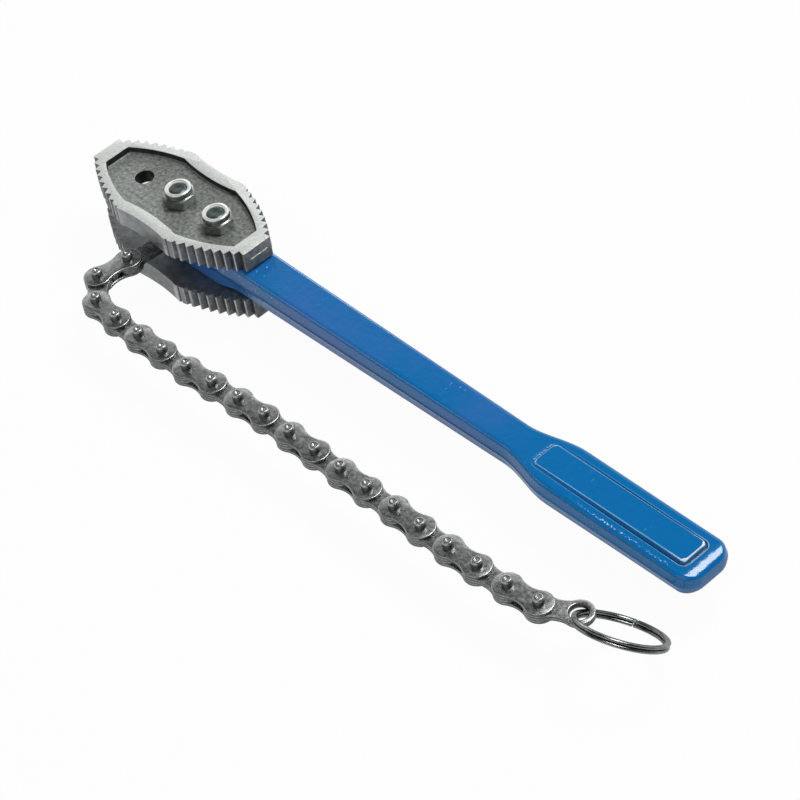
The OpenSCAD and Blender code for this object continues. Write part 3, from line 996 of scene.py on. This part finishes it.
@dataclass(frozen=True)
class JawPlates:
    """The two toothed jaw plates, with ground rims, blasted pockets and eased edges."""

    outer_z: float = 22.6
    hole_slack: float = 0.1
    hole_x: tuple[float, float, float] = (0.0, CHAIN_BOLT_X, HANDLE_BOLT_X)
    half_waist: float = 19.5
    half_len: float = 63.0
    tooth_land: float = 0.5
    ease: float = 0.9
    tooth_ease: float = 0.12
    mouth_ease: float = 0.35
    hole_ease: float = 0.5
    flat_slope: float = 0.9
    wall_slope: float = 0.5
    touch: float = 0.02
    near: float = 0.5
    corner_deg: float = 30.0
    weld: float = 0.002
    flat_deg: float = 0.3

    def at(self, value: float, height: float) -> bool:
        """Tells whether a height in metres lies at one in millimetres, on either jaw."""
        return abs(abs(value) - height * MM) < self.touch * MM

    def by_hole(self, point: Vector) -> bool:
        """Tells whether a point lies on the edge of a bolt hole."""
        reach = (BOLT_HOLE_R + self.hole_slack) * MM
        return any(math.hypot(point.x - x * MM, point.y) < reach for x in self.hole_x)

    def by_outline(self, face: BMFace) -> bool:
        """Tells whether a face is part of the plate's outside, which reaches below the pocket."""
        return min(abs(vert.co.z) for vert in face.verts) < (POCKET_Z - self.near) * MM

    def in_pocket(self, face: BMFace) -> bool:
        """Tells whether the middle of a face lies above the pocket's floor."""
        return abs(face.calc_center_median().z) > (POCKET_Z + self.near) * MM

    def face_finish(self, face: BMFace) -> Finish:
        """Picks the finish of one face of the plate.

        Args:
            face: Face of the plate.

        Returns:
            The finish.
        """
        middle = face.calc_center_median()
        slope = abs(face.normal.z)
        flat = slope > self.flat_slope
        if flat and self.at(middle.z, self.outer_z):
            return Finish.GROUND
        if flat and self.at(middle.z, POCKET_Z):
            return Finish.BLASTED
        if all(self.by_hole(vert.co) for vert in face.verts):
            return Finish.SCALE
        if not self.by_outline(face):
            return Finish.SCALE if self.in_pocket(face) else Finish.FORGED
        from_middle = abs(middle.x / MM - CHAIN_BOLT_X)
        if slope > self.wall_slope or from_middle < self.half_waist:
            return Finish.FORGED
        if from_middle > self.half_len - 1:
            return Finish.SCALED_END
        spots = [vert.co.xy for vert in face.verts]
        width = max((a - b).length for a in spots for b in spots)
        # Narrow crest lands take the lighter finish, partly rubbed wear and partly painted highlight
        return Finish.WORN if width < 1.5 * self.tooth_land * MM else Finish.MILLED

    def edge_ease(self, edge: BMEdge) -> float:
        """Picks how far one edge of the plate is eased.

        Args:
            edge: Edge between two faces.

        Returns:
            The width in millimetres, 0 for an edge that stays as it is.
        """
        if len(edge.link_faces) != 2 or edge.calc_face_angle(0) < math.radians(self.corner_deg):
            return 0.0
        ends = [vert.co for vert in edge.verts]
        if all(self.by_hole(point) for point in ends):
            return self.hole_ease
        walls = [face for face in edge.link_faces if abs(face.normal.z) < self.wall_slope]
        if any(self.in_pocket(face) for face in walls):
            return self.mouth_ease if all(self.at(p.z, self.outer_z) for p in ends) else self.ease
        return self.tooth_ease if edge.is_convex else 0.0

    def build_one(self, node: Object, finishes: dict[Finish, Material]) -> None:
        """Dresses one plate.

        Args:
            node: Node whose shape the plate has.
            finishes: Materials by finish.
        """
        mesh = bmesh.new()
        mesh.from_mesh(node.data)
        bmesh.ops.remove_doubles(mesh, verts=mesh.verts, dist=self.weld * MM)
        flat = math.radians(self.flat_deg)
        bmesh.ops.dissolve_limit(mesh, angle_limit=flat, verts=mesh.verts, edges=mesh.edges)
        weights = mesh.edges.layers.float.new("bevel_weight_edge")
        for face in mesh.faces:
            face.material_index = JAW_FINISHES.index(self.face_finish(face))
        for edge in mesh.edges:
            edge[weights] = self.edge_ease(edge) / self.ease
        piece = as_object(f"{node.name}_plate", mesh)
        for finish in JAW_FINISHES:
            piece.data.materials.append(finishes[finish])
        eased = piece.modifiers.new("eased_edges", "BEVEL")
        eased.limit_method = "WEIGHT"
        eased.width = self.ease * MM
        eased.segments = 3
        eased.use_clamp_overlap = False
        applied(piece, SHARP)
        settle(piece, "wrench", "forged_jaw", node.name)

    def build(self, nodes: dict[str, Object], finishes: dict[Finish, Material]) -> None:
        """Dresses both plates."""
        for name in ("upper_jaw", "lower_jaw"):
            self.build_one(nodes[name], finishes)


@dataclass(frozen=True)
class Fasteners:
    """The two hexagon bolts with their lock nuts and nylon inserts."""

    bolt_r: float = 5.0
    across_flats: float = 16.0
    head_h: float = 6.4
    nut_hex_h: float = 6.2
    collar_h: float = 3.4
    collar_r: float = 7.4
    lip_r: float = 5.5
    insert_r: float = 6.46
    stickout: float = -0.6
    seat_gap: float = 0.02
    corner_cut: float = 0.12
    face_share: float = 0.95
    seat_ease: float = 0.25

    def hex_ring(self, limit: float, z: float, chamfer: float) -> Ring:
        """Draws one ring of a hexagon whose corners are turned down to a limit.

        Args:
            limit: Largest radius of the ring.
            z: Height of the ring at the flats' middles.
            chamfer: How much the ring falls for each millimetre past the flats' middles.

        Returns:
            The ring, in metres.
        """
        flat = self.across_flats / 2
        ring = []
        for a in spread(0, 2 * math.pi, TURNED):
            off_flat = (a + math.pi / 6) % (math.pi / 3) - math.pi / 6
            r = min(limit, flat / math.cos(off_flat))
            ring.append(Vector((r * math.cos(a), r * math.sin(a), z - chamfer * (r - flat))) * MM)
        return ring

    def hexagon(self, low: float, high: float, up: int) -> list[Ring]:
        """Draws a hexagon from its seat to its chamfered face.

        Args:
            low: Height of the seat.
            high: Height of the chamfered face.
            up: 1 where the chamfered face looks up, -1 where it looks down.

        Returns:
            Rings from the seat to the chamfered face.
        """
        flat = self.across_flats / 2
        corner = flat / math.cos(math.pi / 6) - self.corner_cut
        fall = math.tan(math.pi / 6)
        face_r = self.face_share * flat
        edge = high - up * (flat - face_r) * fall
        return [
            *turned_rings([(face_r, low)]),
            self.hex_ring(corner, low + up * self.seat_ease, -up * self.seat_ease),
            self.hex_ring(corner, edge - up * 0.05, up * fall),
            self.hex_ring(corner - 0.04, edge, up * fall),
            *turned_rings([(face_r, high - up * 0.02), (face_r - 0.3, high)]),
        ]

    def bolt(self) -> Object:
        """Makes a bolt on the Z axis, with its head below and a domed end above.

        Returns:
            The shape, with its end marked as trim.
        """
        end = POCKET_Z + self.nut_hex_h + self.collar_h + self.stickout
        head = self.hexagon(-POCKET_Z, -POCKET_Z - self.head_h, -1)
        r = self.bolt_r
        shank = [
            (r + 0.5, -POCKET_Z),
            (r, -POCKET_Z + 0.3),
            (r, end - 1.0),
            (r - 0.9, end - 0.12),
            (r - 1.2, end - 0.02),
            (r - 1.6, end),
            (0.9, end),
            (0.3, end - 0.15),
        ]
        cap = turned_rings([(2.0, -POCKET_Z - self.head_h)])
        bolt = as_object("bolt_shape", skin(cap + head[::-1] + turned_rings(shank)))
        mark_faces(bolt, "trim", lambda face: face.center.z > 0)
        return bolt

    def nut(self) -> Object:
        """Makes a lock nut that stands on the plane Z = 0.

        Returns:
            The shape, with its lip marked as trim.
        """
        top = self.nut_hex_h + self.collar_h
        bore = self.bolt_r + self.seat_gap
        collar = [
            (self.collar_r + 0.35, self.nut_hex_h),
            (self.collar_r + 0.08, self.nut_hex_h + 0.12),
            (self.collar_r, self.nut_hex_h + 0.4),
            (self.collar_r, top - 1.1),
            (self.collar_r - 0.16, top - 0.6),
            (self.collar_r - 0.5, top - 0.2),
            (self.collar_r - 1.0, top),
            (self.lip_r + 0.25, top),
            (self.lip_r, top - 0.2),
            (self.lip_r, top - 0.5),
            (self.insert_r, top - 0.5),
            (self.insert_r, self.nut_hex_h),
            (bore, self.nut_hex_h),
            (bore, 0.4),
            (bore + 0.4, 0.0),
        ]
        rings = self.hexagon(0, self.nut_hex_h, 1) + turned_rings(collar)
        nut = as_object("nut_shape", skin(rings, loop=True))
        mark_faces(nut, "trim", lambda face: face.center.z > (top - 0.7) * MM)
        return nut

    def insert(self) -> Object:
        """Makes a nylon insert that stands on the plane Z = 0.

        Returns:
            The shape.
        """
        outer, inner = self.insert_r - self.seat_gap, self.bolt_r + self.seat_gap
        high = self.collar_h - 0.5 - 2 * self.seat_gap
        profile = [(inner, 0), (outer, 0), (outer, high), (inner + 0.4, high), (inner, high - 0.4)]
        return as_object("insert_shape", skin(turned_rings(profile), loop=True))

    def build(self, placer: Placer, finishes: dict[Finish, Material]) -> None:
        """Places bolts, nuts and inserts.

        Args:
            placer: Tree that sets the copies.
            finishes: Materials by finish.
        """
        bolt, nut, insert = self.bolt(), self.nut(), self.insert()
        step = Vector((HANDLE_BOLT_X - CHAIN_BOLT_X, 0, 0))
        first = Vector((CHAIN_BOLT_X, 0, 0))
        seat = Vector((0, 0, POCKET_Z))
        inside = seat + Vector((0, 0, self.nut_hex_h + self.seat_gap))
        # The bolt's end takes its darker zinc, partly painted shade, and the nut's lip its near-white zinc,
        # partly painted highlight
        zinc_bolt, zinc_nut = finishes[Finish.ZINC_BOLT], finishes[Finish.ZINC_NUT]
        for number, node in enumerate(("chain_bolt", "handle_bolt")):
            piece = placer.place(f"hex_{node}", bolt, first + number * step, step, 1, 0, zinc_nut, zinc_bolt)
            settle(piece, "wrench", "zinc_bolt", node)
        lip = finishes[Finish.ZINC_LIP]
        nuts = placer.place("collar_lock_nuts", nut, first + seat, step, 2, 0, zinc_nut, lip)
        settle(nuts, "wrench", "zinc_nut", "lock_nuts")
        rings = placer.place("nylon_inserts", insert, first + inside, step, 2, 0, finishes[Finish.NYLON])
        settle(rings, "wrench", "nylon", "nut_inserts")
        for shape in (bolt, nut, insert):
            bpy.data.objects.remove(shape)


def link_outline(length: float, near_r: float, far_r: float, half_waist: float, fillet: float) -> Ring:
    """Draws a link plate: two round ends, a narrower waist and fillets between.

    Args:
        length: Distance between the middles of the two ends.
        near_r: Radius of the end at the origin.
        far_r: Radius of the end on +X.
        half_waist: Half the height of the waist.
        fillet: Radius of the fillets.

    Returns:
        The outline, once round, in metres on the plane Z = 0.
    """
    rise = half_waist + fillet
    near_x = math.sqrt((near_r + fillet) ** 2 - rise**2)
    far_x = math.sqrt((far_r + fillet) ** 2 - rise**2)
    near_a, far_a = math.atan2(rise, near_x), math.atan2(rise, far_x)
    arcs = [
        (0.0, 0.0, near_r, math.pi, near_a, END_STEPS),
        (near_x, rise, fillet, math.pi + near_a, 1.5 * math.pi, FILLET_STEPS),
        (length - far_x, rise, fillet, 1.5 * math.pi, 2 * math.pi - far_a, FILLET_STEPS),
        (length, 0.0, far_r, math.pi - far_a, 0.0, END_STEPS),
    ]
    upper = []
    for x, y, r, start, end, count in arcs:
        for a in [*spread(start, end, count), end]:
            point = Vector((x + r * math.cos(a), y + r * math.sin(a), 0))
            if not upper or (point - upper[-1]).length > CLOSEST:
                upper.append(point)
    lower = [Vector((p.x, -p.y, 0)) for p in reversed(upper[1:-1])]
    return [p * MM for p in upper + lower]


@dataclass(frozen=True)
class Chain:
    """The leaf chain: anchor link, ten pinned outer links, inner links, end link and ring."""

    links: int = 10
    anchor_len: float = 38.6
    anchor_heading: float = -95.0
    bends: tuple[int, ...] = (-2, 56, 36, 4, 2, 0, 3, -1, 0, -3, 0, -1, 1, 0, -1, 1, 1, 2, 2, 23)
    pitch: float = 19.05
    plate_t: float = 1.6
    plate_r: float = 7.6
    half_waist: float = 5.4
    plate_fillet: float = 14.12
    plate_ease: float = 0.5
    plate_gap: float = 0.12
    pin_r: float = 2.9
    pin_half: float = 7.38
    pin_bevel: float = 0.8
    pin_points: int = 48
    pin_sharp: float = 50.0
    running: float = 0.06
    seated: float = 0.02
    anchor_eye_r: float = 10.4
    anchor_eye_t: float = 7.12
    anchor_eye_ease: float = 0.6
    anchor_eye_step: float = 0.2
    anchor_fillet: float = 8.0
    cut_reach: float = 9.0
    bolt_bore_r: float = 5.06
    ring_hole_r: float = 4.6
    ring_hole_round: float = 1.0
    ring_r: float = 21.9
    ring_wire_r: float = 1.55
    ring_turn_h: float = 2.05
    ring_split: float = 0.6
    ring_split_heading: float = 99.0
    ring_stagger: float = 2.0
    ring_end_ease: tuple[tuple[float, float], ...] = ((0.0, -0.2), (0.05, -0.06), (0.2, 0.0))
    ring_steps: int = 168
    wire_points: int = 28
    ring_heading: float = 12.5
    ring_tilt: float = 40.0

    def heading(self, k: int) -> float:
        """Gives the direction of the link that leaves pin k, in degrees."""
        return self.anchor_heading + sum(self.bends[:k])

    def pin(self, k: int) -> Vector:
        """Gives the place of pin k, counted from the anchor link.

        Args:
            k: Number of the pin, 0 for the chain bolt.

        Returns:
            Its place on the middle plane, in millimetres.
        """
        place = Vector((CHAIN_BOLT_X, 0, 0))
        for i in range(k):
            a = math.radians(self.heading(i))
            place += (self.anchor_len if i == 0 else self.pitch) * Vector((math.cos(a), math.sin(a), 0))
        return place

    def plate(self, name: str, outline: Ring, thick: float, bores: list[tuple[float, float]]) -> Object:
        """Punches a plate: an outline with eased edges and bored holes.

        Args:
            name: Name of the shape.
            outline: Outline on the plane Z = 0, in metres.
            thick: Thickness, half of it on each side of that plane.
            bores: X and radius of each bore, in millimetres.

        Returns:
            The plate.
        """
        up = Vector((0, 0, thick / 2 * MM))
        mesh = skin([[p - up for p in outline], [p + up for p in outline]])
        edges = [edge for face in mesh.faces if abs(face.normal.z) > LEVEL for edge in face.edges]
        bmesh.ops.bevel(
            mesh,
            geom=edges,
            offset=self.plate_ease * MM,
            segments=3,
            profile=0.5,
            affect="EDGES",
            clamp_overlap=False,
        )
        piece = as_object(name, mesh)
        return combine(piece, [drill(x, r, self.cut_reach) for x, r in bores]) if bores else piece

    def pin_shape(self) -> Object:
        """Turns a chain pin with bevelled ends and a centre mark in each.

        Returns:
            The shape, upright on the Z axis.
        """
        half = [
            (0.25, self.pin_half - 0.75),
            (0.9, self.pin_half - 0.06),
            (1.05, self.pin_half),
            (self.pin_r - self.pin_bevel - 0.1, self.pin_half),
            (self.pin_r - self.pin_bevel + 0.06, self.pin_half - 0.05),
            (self.pin_r - 0.06, self.pin_half - self.pin_bevel + 0.06),
            (self.pin_r, self.pin_half - self.pin_bevel - 0.1),
        ]
        rings = turned_rings(half + [(r, -z) for r, z in reversed(half)], self.pin_points)
        return as_object("pin_shape", skin(rings), self.pin_sharp)

    def end_plate(self) -> Object:
        """Punches the last plate, with a rounded mouth at the ring's hole on its +Z face.

        Returns:
            The plate, with its pin at the origin.
        """
        outline = link_outline(self.pitch, self.plate_r, self.plate_r, self.half_waist, self.plate_fillet)
        piece = self.plate("end_plate", outline, self.plate_t, [(0.0, self.pin_r + self.running)])
        r, top = self.ring_hole_r, self.plate_t / 2
        ease = self.ring_hole_round
        turns = [math.pi / 2 * i / 6 for i in range(7)]
        mouth = [(r + ease * (1 - math.cos(a)), top - ease * (1 - math.sin(a))) for a in turns]
        profile = [(r, -self.cut_reach), *mouth, (r + ease, self.cut_reach)]
        return combine(piece, [as_object("ring_mouth", skin(turned_rings(profile, DRILLED, self.pitch)))])

    def anchor_bar(self) -> Object:
        """Forges the anchor link: a flat bar with a thick eye at the origin and a plain end on +X.

        Returns:
            The bar.
        """
        near_r = self.anchor_eye_r - self.anchor_eye_step
        outline = link_outline(self.anchor_len, near_r, self.plate_r, self.half_waist, self.anchor_fillet)
        bar = self.plate("anchor_bar", outline, 2 * self.plate_t + self.plate_gap, [])
        r, top, ease = self.anchor_eye_r, self.anchor_eye_t / 2, self.anchor_eye_ease
        half = [(r, top - ease), (r - 0.3 * ease, top - 0.3 * ease), (r - ease, top)]
        rings = turned_rings([(r, -z) for r, z in reversed(half)] + half)
        combine(bar, [as_object("anchor_eye", skin(rings))], "UNION")
        bores = [(0.0, self.bolt_bore_r), (self.anchor_len, self.pin_r + self.running)]
        return combine(bar, [drill(x, r, self.cut_reach) for x, r in bores])

    def ring_turn(self, up: int) -> BMesh:
        """Bends one turn of the split ring and lays it in the end link's hole.

        Args:
            up: 1 for the upper turn, -1 for the lower one.

        Returns:
            The mesh of the turn, an open circle of flattened wire.
        """
        gap = self.ring_split / self.ring_r
        start = math.radians(self.ring_split_heading - self.ring_stagger * up) + gap / 2
        turns = [(length / self.ring_r, less) for length, less in self.ring_end_ease]
        full = 2 * math.pi - gap
        path = turns + [(a, 0.0) for a in spread(0, full, self.ring_steps)[1:]]
        path += [(full - a, less) for a, less in reversed(turns)]
        lie = (
            Matrix.Translation(self.pin(2 * self.links + 1) * MM)
            @ Matrix.Rotation(math.radians(self.ring_heading), 4, "Z")
            @ Matrix.Rotation(math.radians(-self.ring_tilt), 4, "X")
            @ Matrix.Translation(Vector((self.ring_r, 0, 0)) * MM)
        )
        rings = []
        for along, less in path:
            turn = Matrix.Rotation(start + along, 4, "Z")
            half_w, half_h = self.ring_wire_r + less, self.ring_turn_h / 2 + less
            section = [
                Vector((self.ring_r + half_w * math.cos(a), 0, half_h * (math.sin(a) + up)))
                for a in spread(0, 2 * math.pi, self.wire_points)
            ]
            rings.append([lie @ turn @ (point * MM) for point in section])
        return skin(rings)

    def place_plates(
        self, placer: Placer, kind: str, shape: Object, k: int, z: float, plain: list[Material]
    ) -> None:
        """Places the two plates of one link.

        Args:
            placer: Tree that sets the copies.
            kind: Kind of link, outer or inner.
            shape: Plate that is repeated.
            k: Pin that the link leaves.
            z: Height of the upper plate's middle.
            plain: Materials of a plate's level, upright and eased faces.
        """
        number = f"{(k + 1) // 2:02d}"
        up = Vector((0, 0, z))
        name, low = f"{kind}_pair_{number}", self.pin(k) - up
        pair = placer.place(name, shape, low, 2 * up, 2, self.heading(k), *plain)
        settle(pair, f"{kind}_link_{number}", "chain_plate", f"{kind}_plates_{number}")

    def build(self, placer: Placer, finishes: dict[Finish, Material]) -> None:
        """Makes the chain's shapes, places them link by link and dresses them.

        Args:
            placer: Tree that sets the copies.
            finishes: Materials by finish.
        """
        # Plates and pins: darker upright faces, partly painted shade, and lighter eased corners, partly
        # painted highlight
        plain = [finishes[kind] for kind in (Finish.STRIP, Finish.SHEARED, Finish.WORN)]
        turned = [finishes[kind] for kind in (Finish.PIN, Finish.SHEARED, Finish.WORN)]
        outline = link_outline(self.pitch, self.plate_r, self.plate_r, self.half_waist, self.plate_fillet)
        tight, loose = self.pin_r + self.seated, self.pin_r + self.running
        outer = self.plate("outer_plate", outline, self.plate_t, [(0.0, tight), (self.pitch, tight)])
        inner = self.plate("inner_plate", outline, self.plate_t, [(0.0, loose), (self.pitch, loose)])
        pin = self.pin_shape()
        for shape in (outer, inner, pin):
            mark_faces(shape, "trim", is_upright)
            mark_faces(shape, "edge", is_eased)
        inner_z = (self.plate_gap + self.plate_t) / 2
        outer_z = inner_z + self.plate_t + self.plate_gap
        for i in range(1, self.links + 1):
            k, number = 2 * i - 1, f"{i:02d}"
            self.place_plates(placer, "outer", outer, k, outer_z, plain)
            step = self.pin(k + 1) - self.pin(k)
            pair = placer.place(f"pin_pair_{number}", pin, self.pin(k), step, 2, self.heading(k), *turned)
            settle(pair, f"outer_link_{number}", "chain_pin", f"pins_{number}")
        for i in range(1, self.links):
            self.place_plates(placer, "inner", inner, 2 * i, inner_z, plain)
        self.build_ends(plain, finishes[Finish.WIRE])
        for shape in (outer, inner, pin):
            bpy.data.objects.remove(shape)

    def build_ends(self, plain: list[Material], wire: Material) -> None:
        """Makes the anchor link, the end link and the ring.

        Args:
            plain: Materials of a plate's level, upright and eased faces.
            wire: Material of the ring.
        """
        anchor = self.anchor_bar()
        turn = Matrix.Rotation(math.radians(self.anchor_heading), 4, "Z")
        anchor.data.transform(Matrix.Translation(Vector((CHAIN_BOLT_X, 0, 0)) * MM) @ turn)
        dress(anchor, plain)
        settle(anchor, "anchor", "chain_plate", "anchor_link")
        height = Vector((0, 0, (self.plate_gap + self.plate_t) / 2)) * MM
        both = bmesh.new()
        for flip in (1, -1):
            plate = self.end_plate()
            plate.data.transform(Matrix.Diagonal((1, 1, flip, 1)) @ Matrix.Translation(height))
            both.from_mesh(plate.data)
            bpy.data.objects.remove(plate)
        bmesh.ops.recalc_face_normals(both, faces=both.faces)
        last = 2 * self.links
        lie = Matrix.Rotation(math.radians(self.heading(last)), 4, "Z")
        both.transform(Matrix.Translation(self.pin(last) * MM) @ lie)
        tail = as_object("end_pair", both)
        dress(tail, plain)
        # The eased mouth round the ring's hole takes the darker finish as painted shade in the hole
        hole, reach = self.pin(last + 1) * MM, (self.ring_hole_r + self.ring_hole_round) * MM
        for face in tail.data.polygons:
            if is_eased(face) and (face.center - hole).to_2d().length < reach:
                face.material_index = 1
        settle(tail, "tail_link", "chain_plate", "end_link")
        turns = self.ring_turn(1)
        lower_turn = as_object("lower_turn", self.ring_turn(-1))
        turns.from_mesh(lower_turn.data)
        bpy.data.objects.remove(lower_turn)
        ring = as_object("split_ring", turns)
        ring.data.materials.append(wire)
        settle(ring, "ring", "ring_wire", "end_ring")


@dataclass(frozen=True)
class Studio:
    """Camera, pale floor, white surround and soft lamps."""

    eye: tuple[float, float, float] = (1.0274, -0.5923, 0.9851)
    right: tuple[float, float, float] = (0.6767, 0.7240, -0.1339)
    up: tuple[float, float, float] = (-0.4540, 0.5535, 0.6982)
    back: tuple[float, float, float] = (0.5796, -0.4117, 0.7033)
    lens: float = 127.4
    sensor: float = 36.0
    seen_from: float = 0.05
    seen_to: float = 20.0
    floor_z: float = -25.5
    floor_half: float = 4.0
    floor_tone: str = "#D0D0D0"
    floor_seen: float = 0.96
    floor_mirrored: float = 0.48
    middle: tuple[float, float, float] = (190.0, -25.0, 0.0)
    ceiling: float = 0.06
    ceiling_z: tuple[float, float] = (0.54, 0.74)
    wall: float = 0.9
    dark_side_x: tuple[float, float] = (0.15, 0.7)
    front: float = 0.3
    front_y: tuple[float, float] = (-0.1, -0.6)
    soft_light: float = 0.42

    def camera(self) -> None:
        """Sets the camera at the photograph's viewing angle."""
        data = bpy.data.cameras.new("viewpoint")
        data.sensor_fit = "HORIZONTAL"
        data.sensor_width = self.sensor
        data.lens = self.lens
        data.clip_start, data.clip_end = self.seen_from, self.seen_to
        camera = bpy.data.objects.new("viewpoint", data)
        axes = Matrix((self.right, self.up, self.back)).transposed()
        camera.matrix_world = Matrix.Translation(self.eye) @ axes.to_4x4()
        bpy.context.scene.collection.objects.link(camera)
        bpy.context.scene.camera = camera

    def lamp(self, name: str, way: Vector, distance: float, size: float, power: float) -> None:
        """Hangs a soft square lamp that looks at the middle of the wrench.

        Args:
            name: Name of the lamp.
            way: Direction from the wrench to the lamp.
            distance: Distance to it, in metres.
            size: Side of its square, in metres.
            power: Power in watts.
        """
        data = bpy.data.lights.new(name, "AREA")
        data.size, data.energy = size, power
        lamp = bpy.data.objects.new(name, data)
        way = way.normalized()
        lamp.location = Vector(self.middle) * MM + way * distance
        lamp.rotation_euler = way.to_track_quat("Z", "Y").to_euler()
        bpy.context.scene.collection.objects.link(lamp)

    def lamps(self) -> None:
        """Hangs an overhead lamp, two small ones that draw the edges, and a wide weak fill."""
        by_camera = Vector(self.back) - Vector(self.right) * 0.5 - Vector(self.up) * 0.2
        self.lamp("overhead", Vector((0.12, 0.42, 0.9)), 1.6, 0.6, 17)
        self.lamp("rim", Vector((-0.68, 0.68, 0.27)), 1.5, 0.4, 1.8)
        self.lamp("strip", Vector((-0.58, -0.69, 0.40)), 1.5, 0.35, 0.6)
        self.lamp("fill", by_camera, 1.8, 1.8, 5.8)

    def rays(self, tree: Any) -> tuple[Any, Any]:
        """Tells a tree how it is looked at.

        Args:
            tree: Tree that takes the nodes.

        Returns:
            The sockets that are 1 where it is seen by the camera, and in a mirror or through glass.
        """
        path = add_node(tree, "ShaderNodeLightPath").outputs
        ends = {0: path["Is Glossy Ray"], 1: path["Is Transmission Ray"]}
        mirrored = add_node(tree, "ShaderNodeMath", ends, operation="MAXIMUM").outputs[0]
        return path["Is Camera Ray"], mirrored

    def surround(self) -> None:
        """Makes the world white where it is seen, and a backdrop with a dim ceiling where it is mirrored."""
        world = bpy.data.worlds.new("white_surround")
        world.use_nodes = True
        tree = world.node_tree
        tree.nodes.clear()
        seen, mirrored = self.rays(tree)
        way = add_node(tree, "ShaderNodeTexCoord").outputs["Generated"]
        x, y, z = add_node(tree, "ShaderNodeSeparateXYZ", {"Vector": way}).outputs
        room = mask(
            tree,
            (z, *self.ceiling_z, self.wall, self.ceiling),
            (x, *self.dark_side_x, 1.0, self.ceiling),
            (y, *self.front_y, 1.0, self.front),
        )
        indirect = mask(tree, (mirrored, 0.0, 1.0, self.soft_light, room), kind="LINEAR")
        strength = add_node(tree, "ShaderNodeMath", {0: indirect, 1: seen}, operation="MAXIMUM").outputs[0]
        light = add_node(tree, "ShaderNodeBackground", {"Color": (1, 1, 1, 1), "Strength": strength})
        add_node(tree, "ShaderNodeOutputWorld", {"Surface": light.outputs["Background"]})
        bpy.context.scene.world = world

    def floor(self) -> None:
        """Lays a pale floor that shows white and keeps the soft shadow."""
        mesh = bmesh.new()
        bmesh.ops.create_grid(mesh, x_segments=1, y_segments=1, size=self.floor_half)
        mesh.transform(Matrix.Translation((0, 0, self.floor_z * MM)))
        floor = as_object("pale_floor", mesh)
        material, tree = new_material("pale_floor_paint")
        matt = add_node(tree, "ShaderNodeBsdfDiffuse", {"Color": linear(self.floor_tone)})
        white = add_node(tree, "ShaderNodeEmission", {"Color": (1, 1, 1, 1), "Strength": 1.0})
        seen, mirrored = self.rays(tree)
        share = 0.0
        for ray, part in ((mirrored, self.floor_mirrored), (seen, self.floor_seen)):
            share = add_node(
                tree, "ShaderNodeMath", {0: ray, 1: part, 2: share}, operation="MULTIPLY_ADD"
            ).outputs[0]
        mix = add_node(
            tree, "ShaderNodeMixShader", {0: share, 1: matt.outputs["BSDF"], 2: white.outputs["Emission"]}
        )
        add_node(tree, "ShaderNodeOutputMaterial", {"Surface": mix.outputs["Shader"]})
        floor.data.materials.append(material)

    def build(self) -> None:
        """Sets up everything round the wrench."""
        self.lamps()
        self.surround()
        self.floor()
        bpy.context.scene.view_settings.view_transform = "Standard"


def main() -> None:
    """Builds the wrench round its frame."""
    logging.basicConfig(level=logging.INFO, format="%(name)s: %(message)s")
    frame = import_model()
    studio = Studio()
    studio.camera()
    finishes = {finish: finish.value.make() for finish in Finish}
    placer = Placer()
    ForgedHandle().build(finishes[Finish.ENAMEL])
    JawPlates().build(frame["nodes"], finishes)
    Fasteners().build(placer, finishes)
    Chain().build(placer, finishes)
    studio.build()


if __name__ == "__main__":
    main()
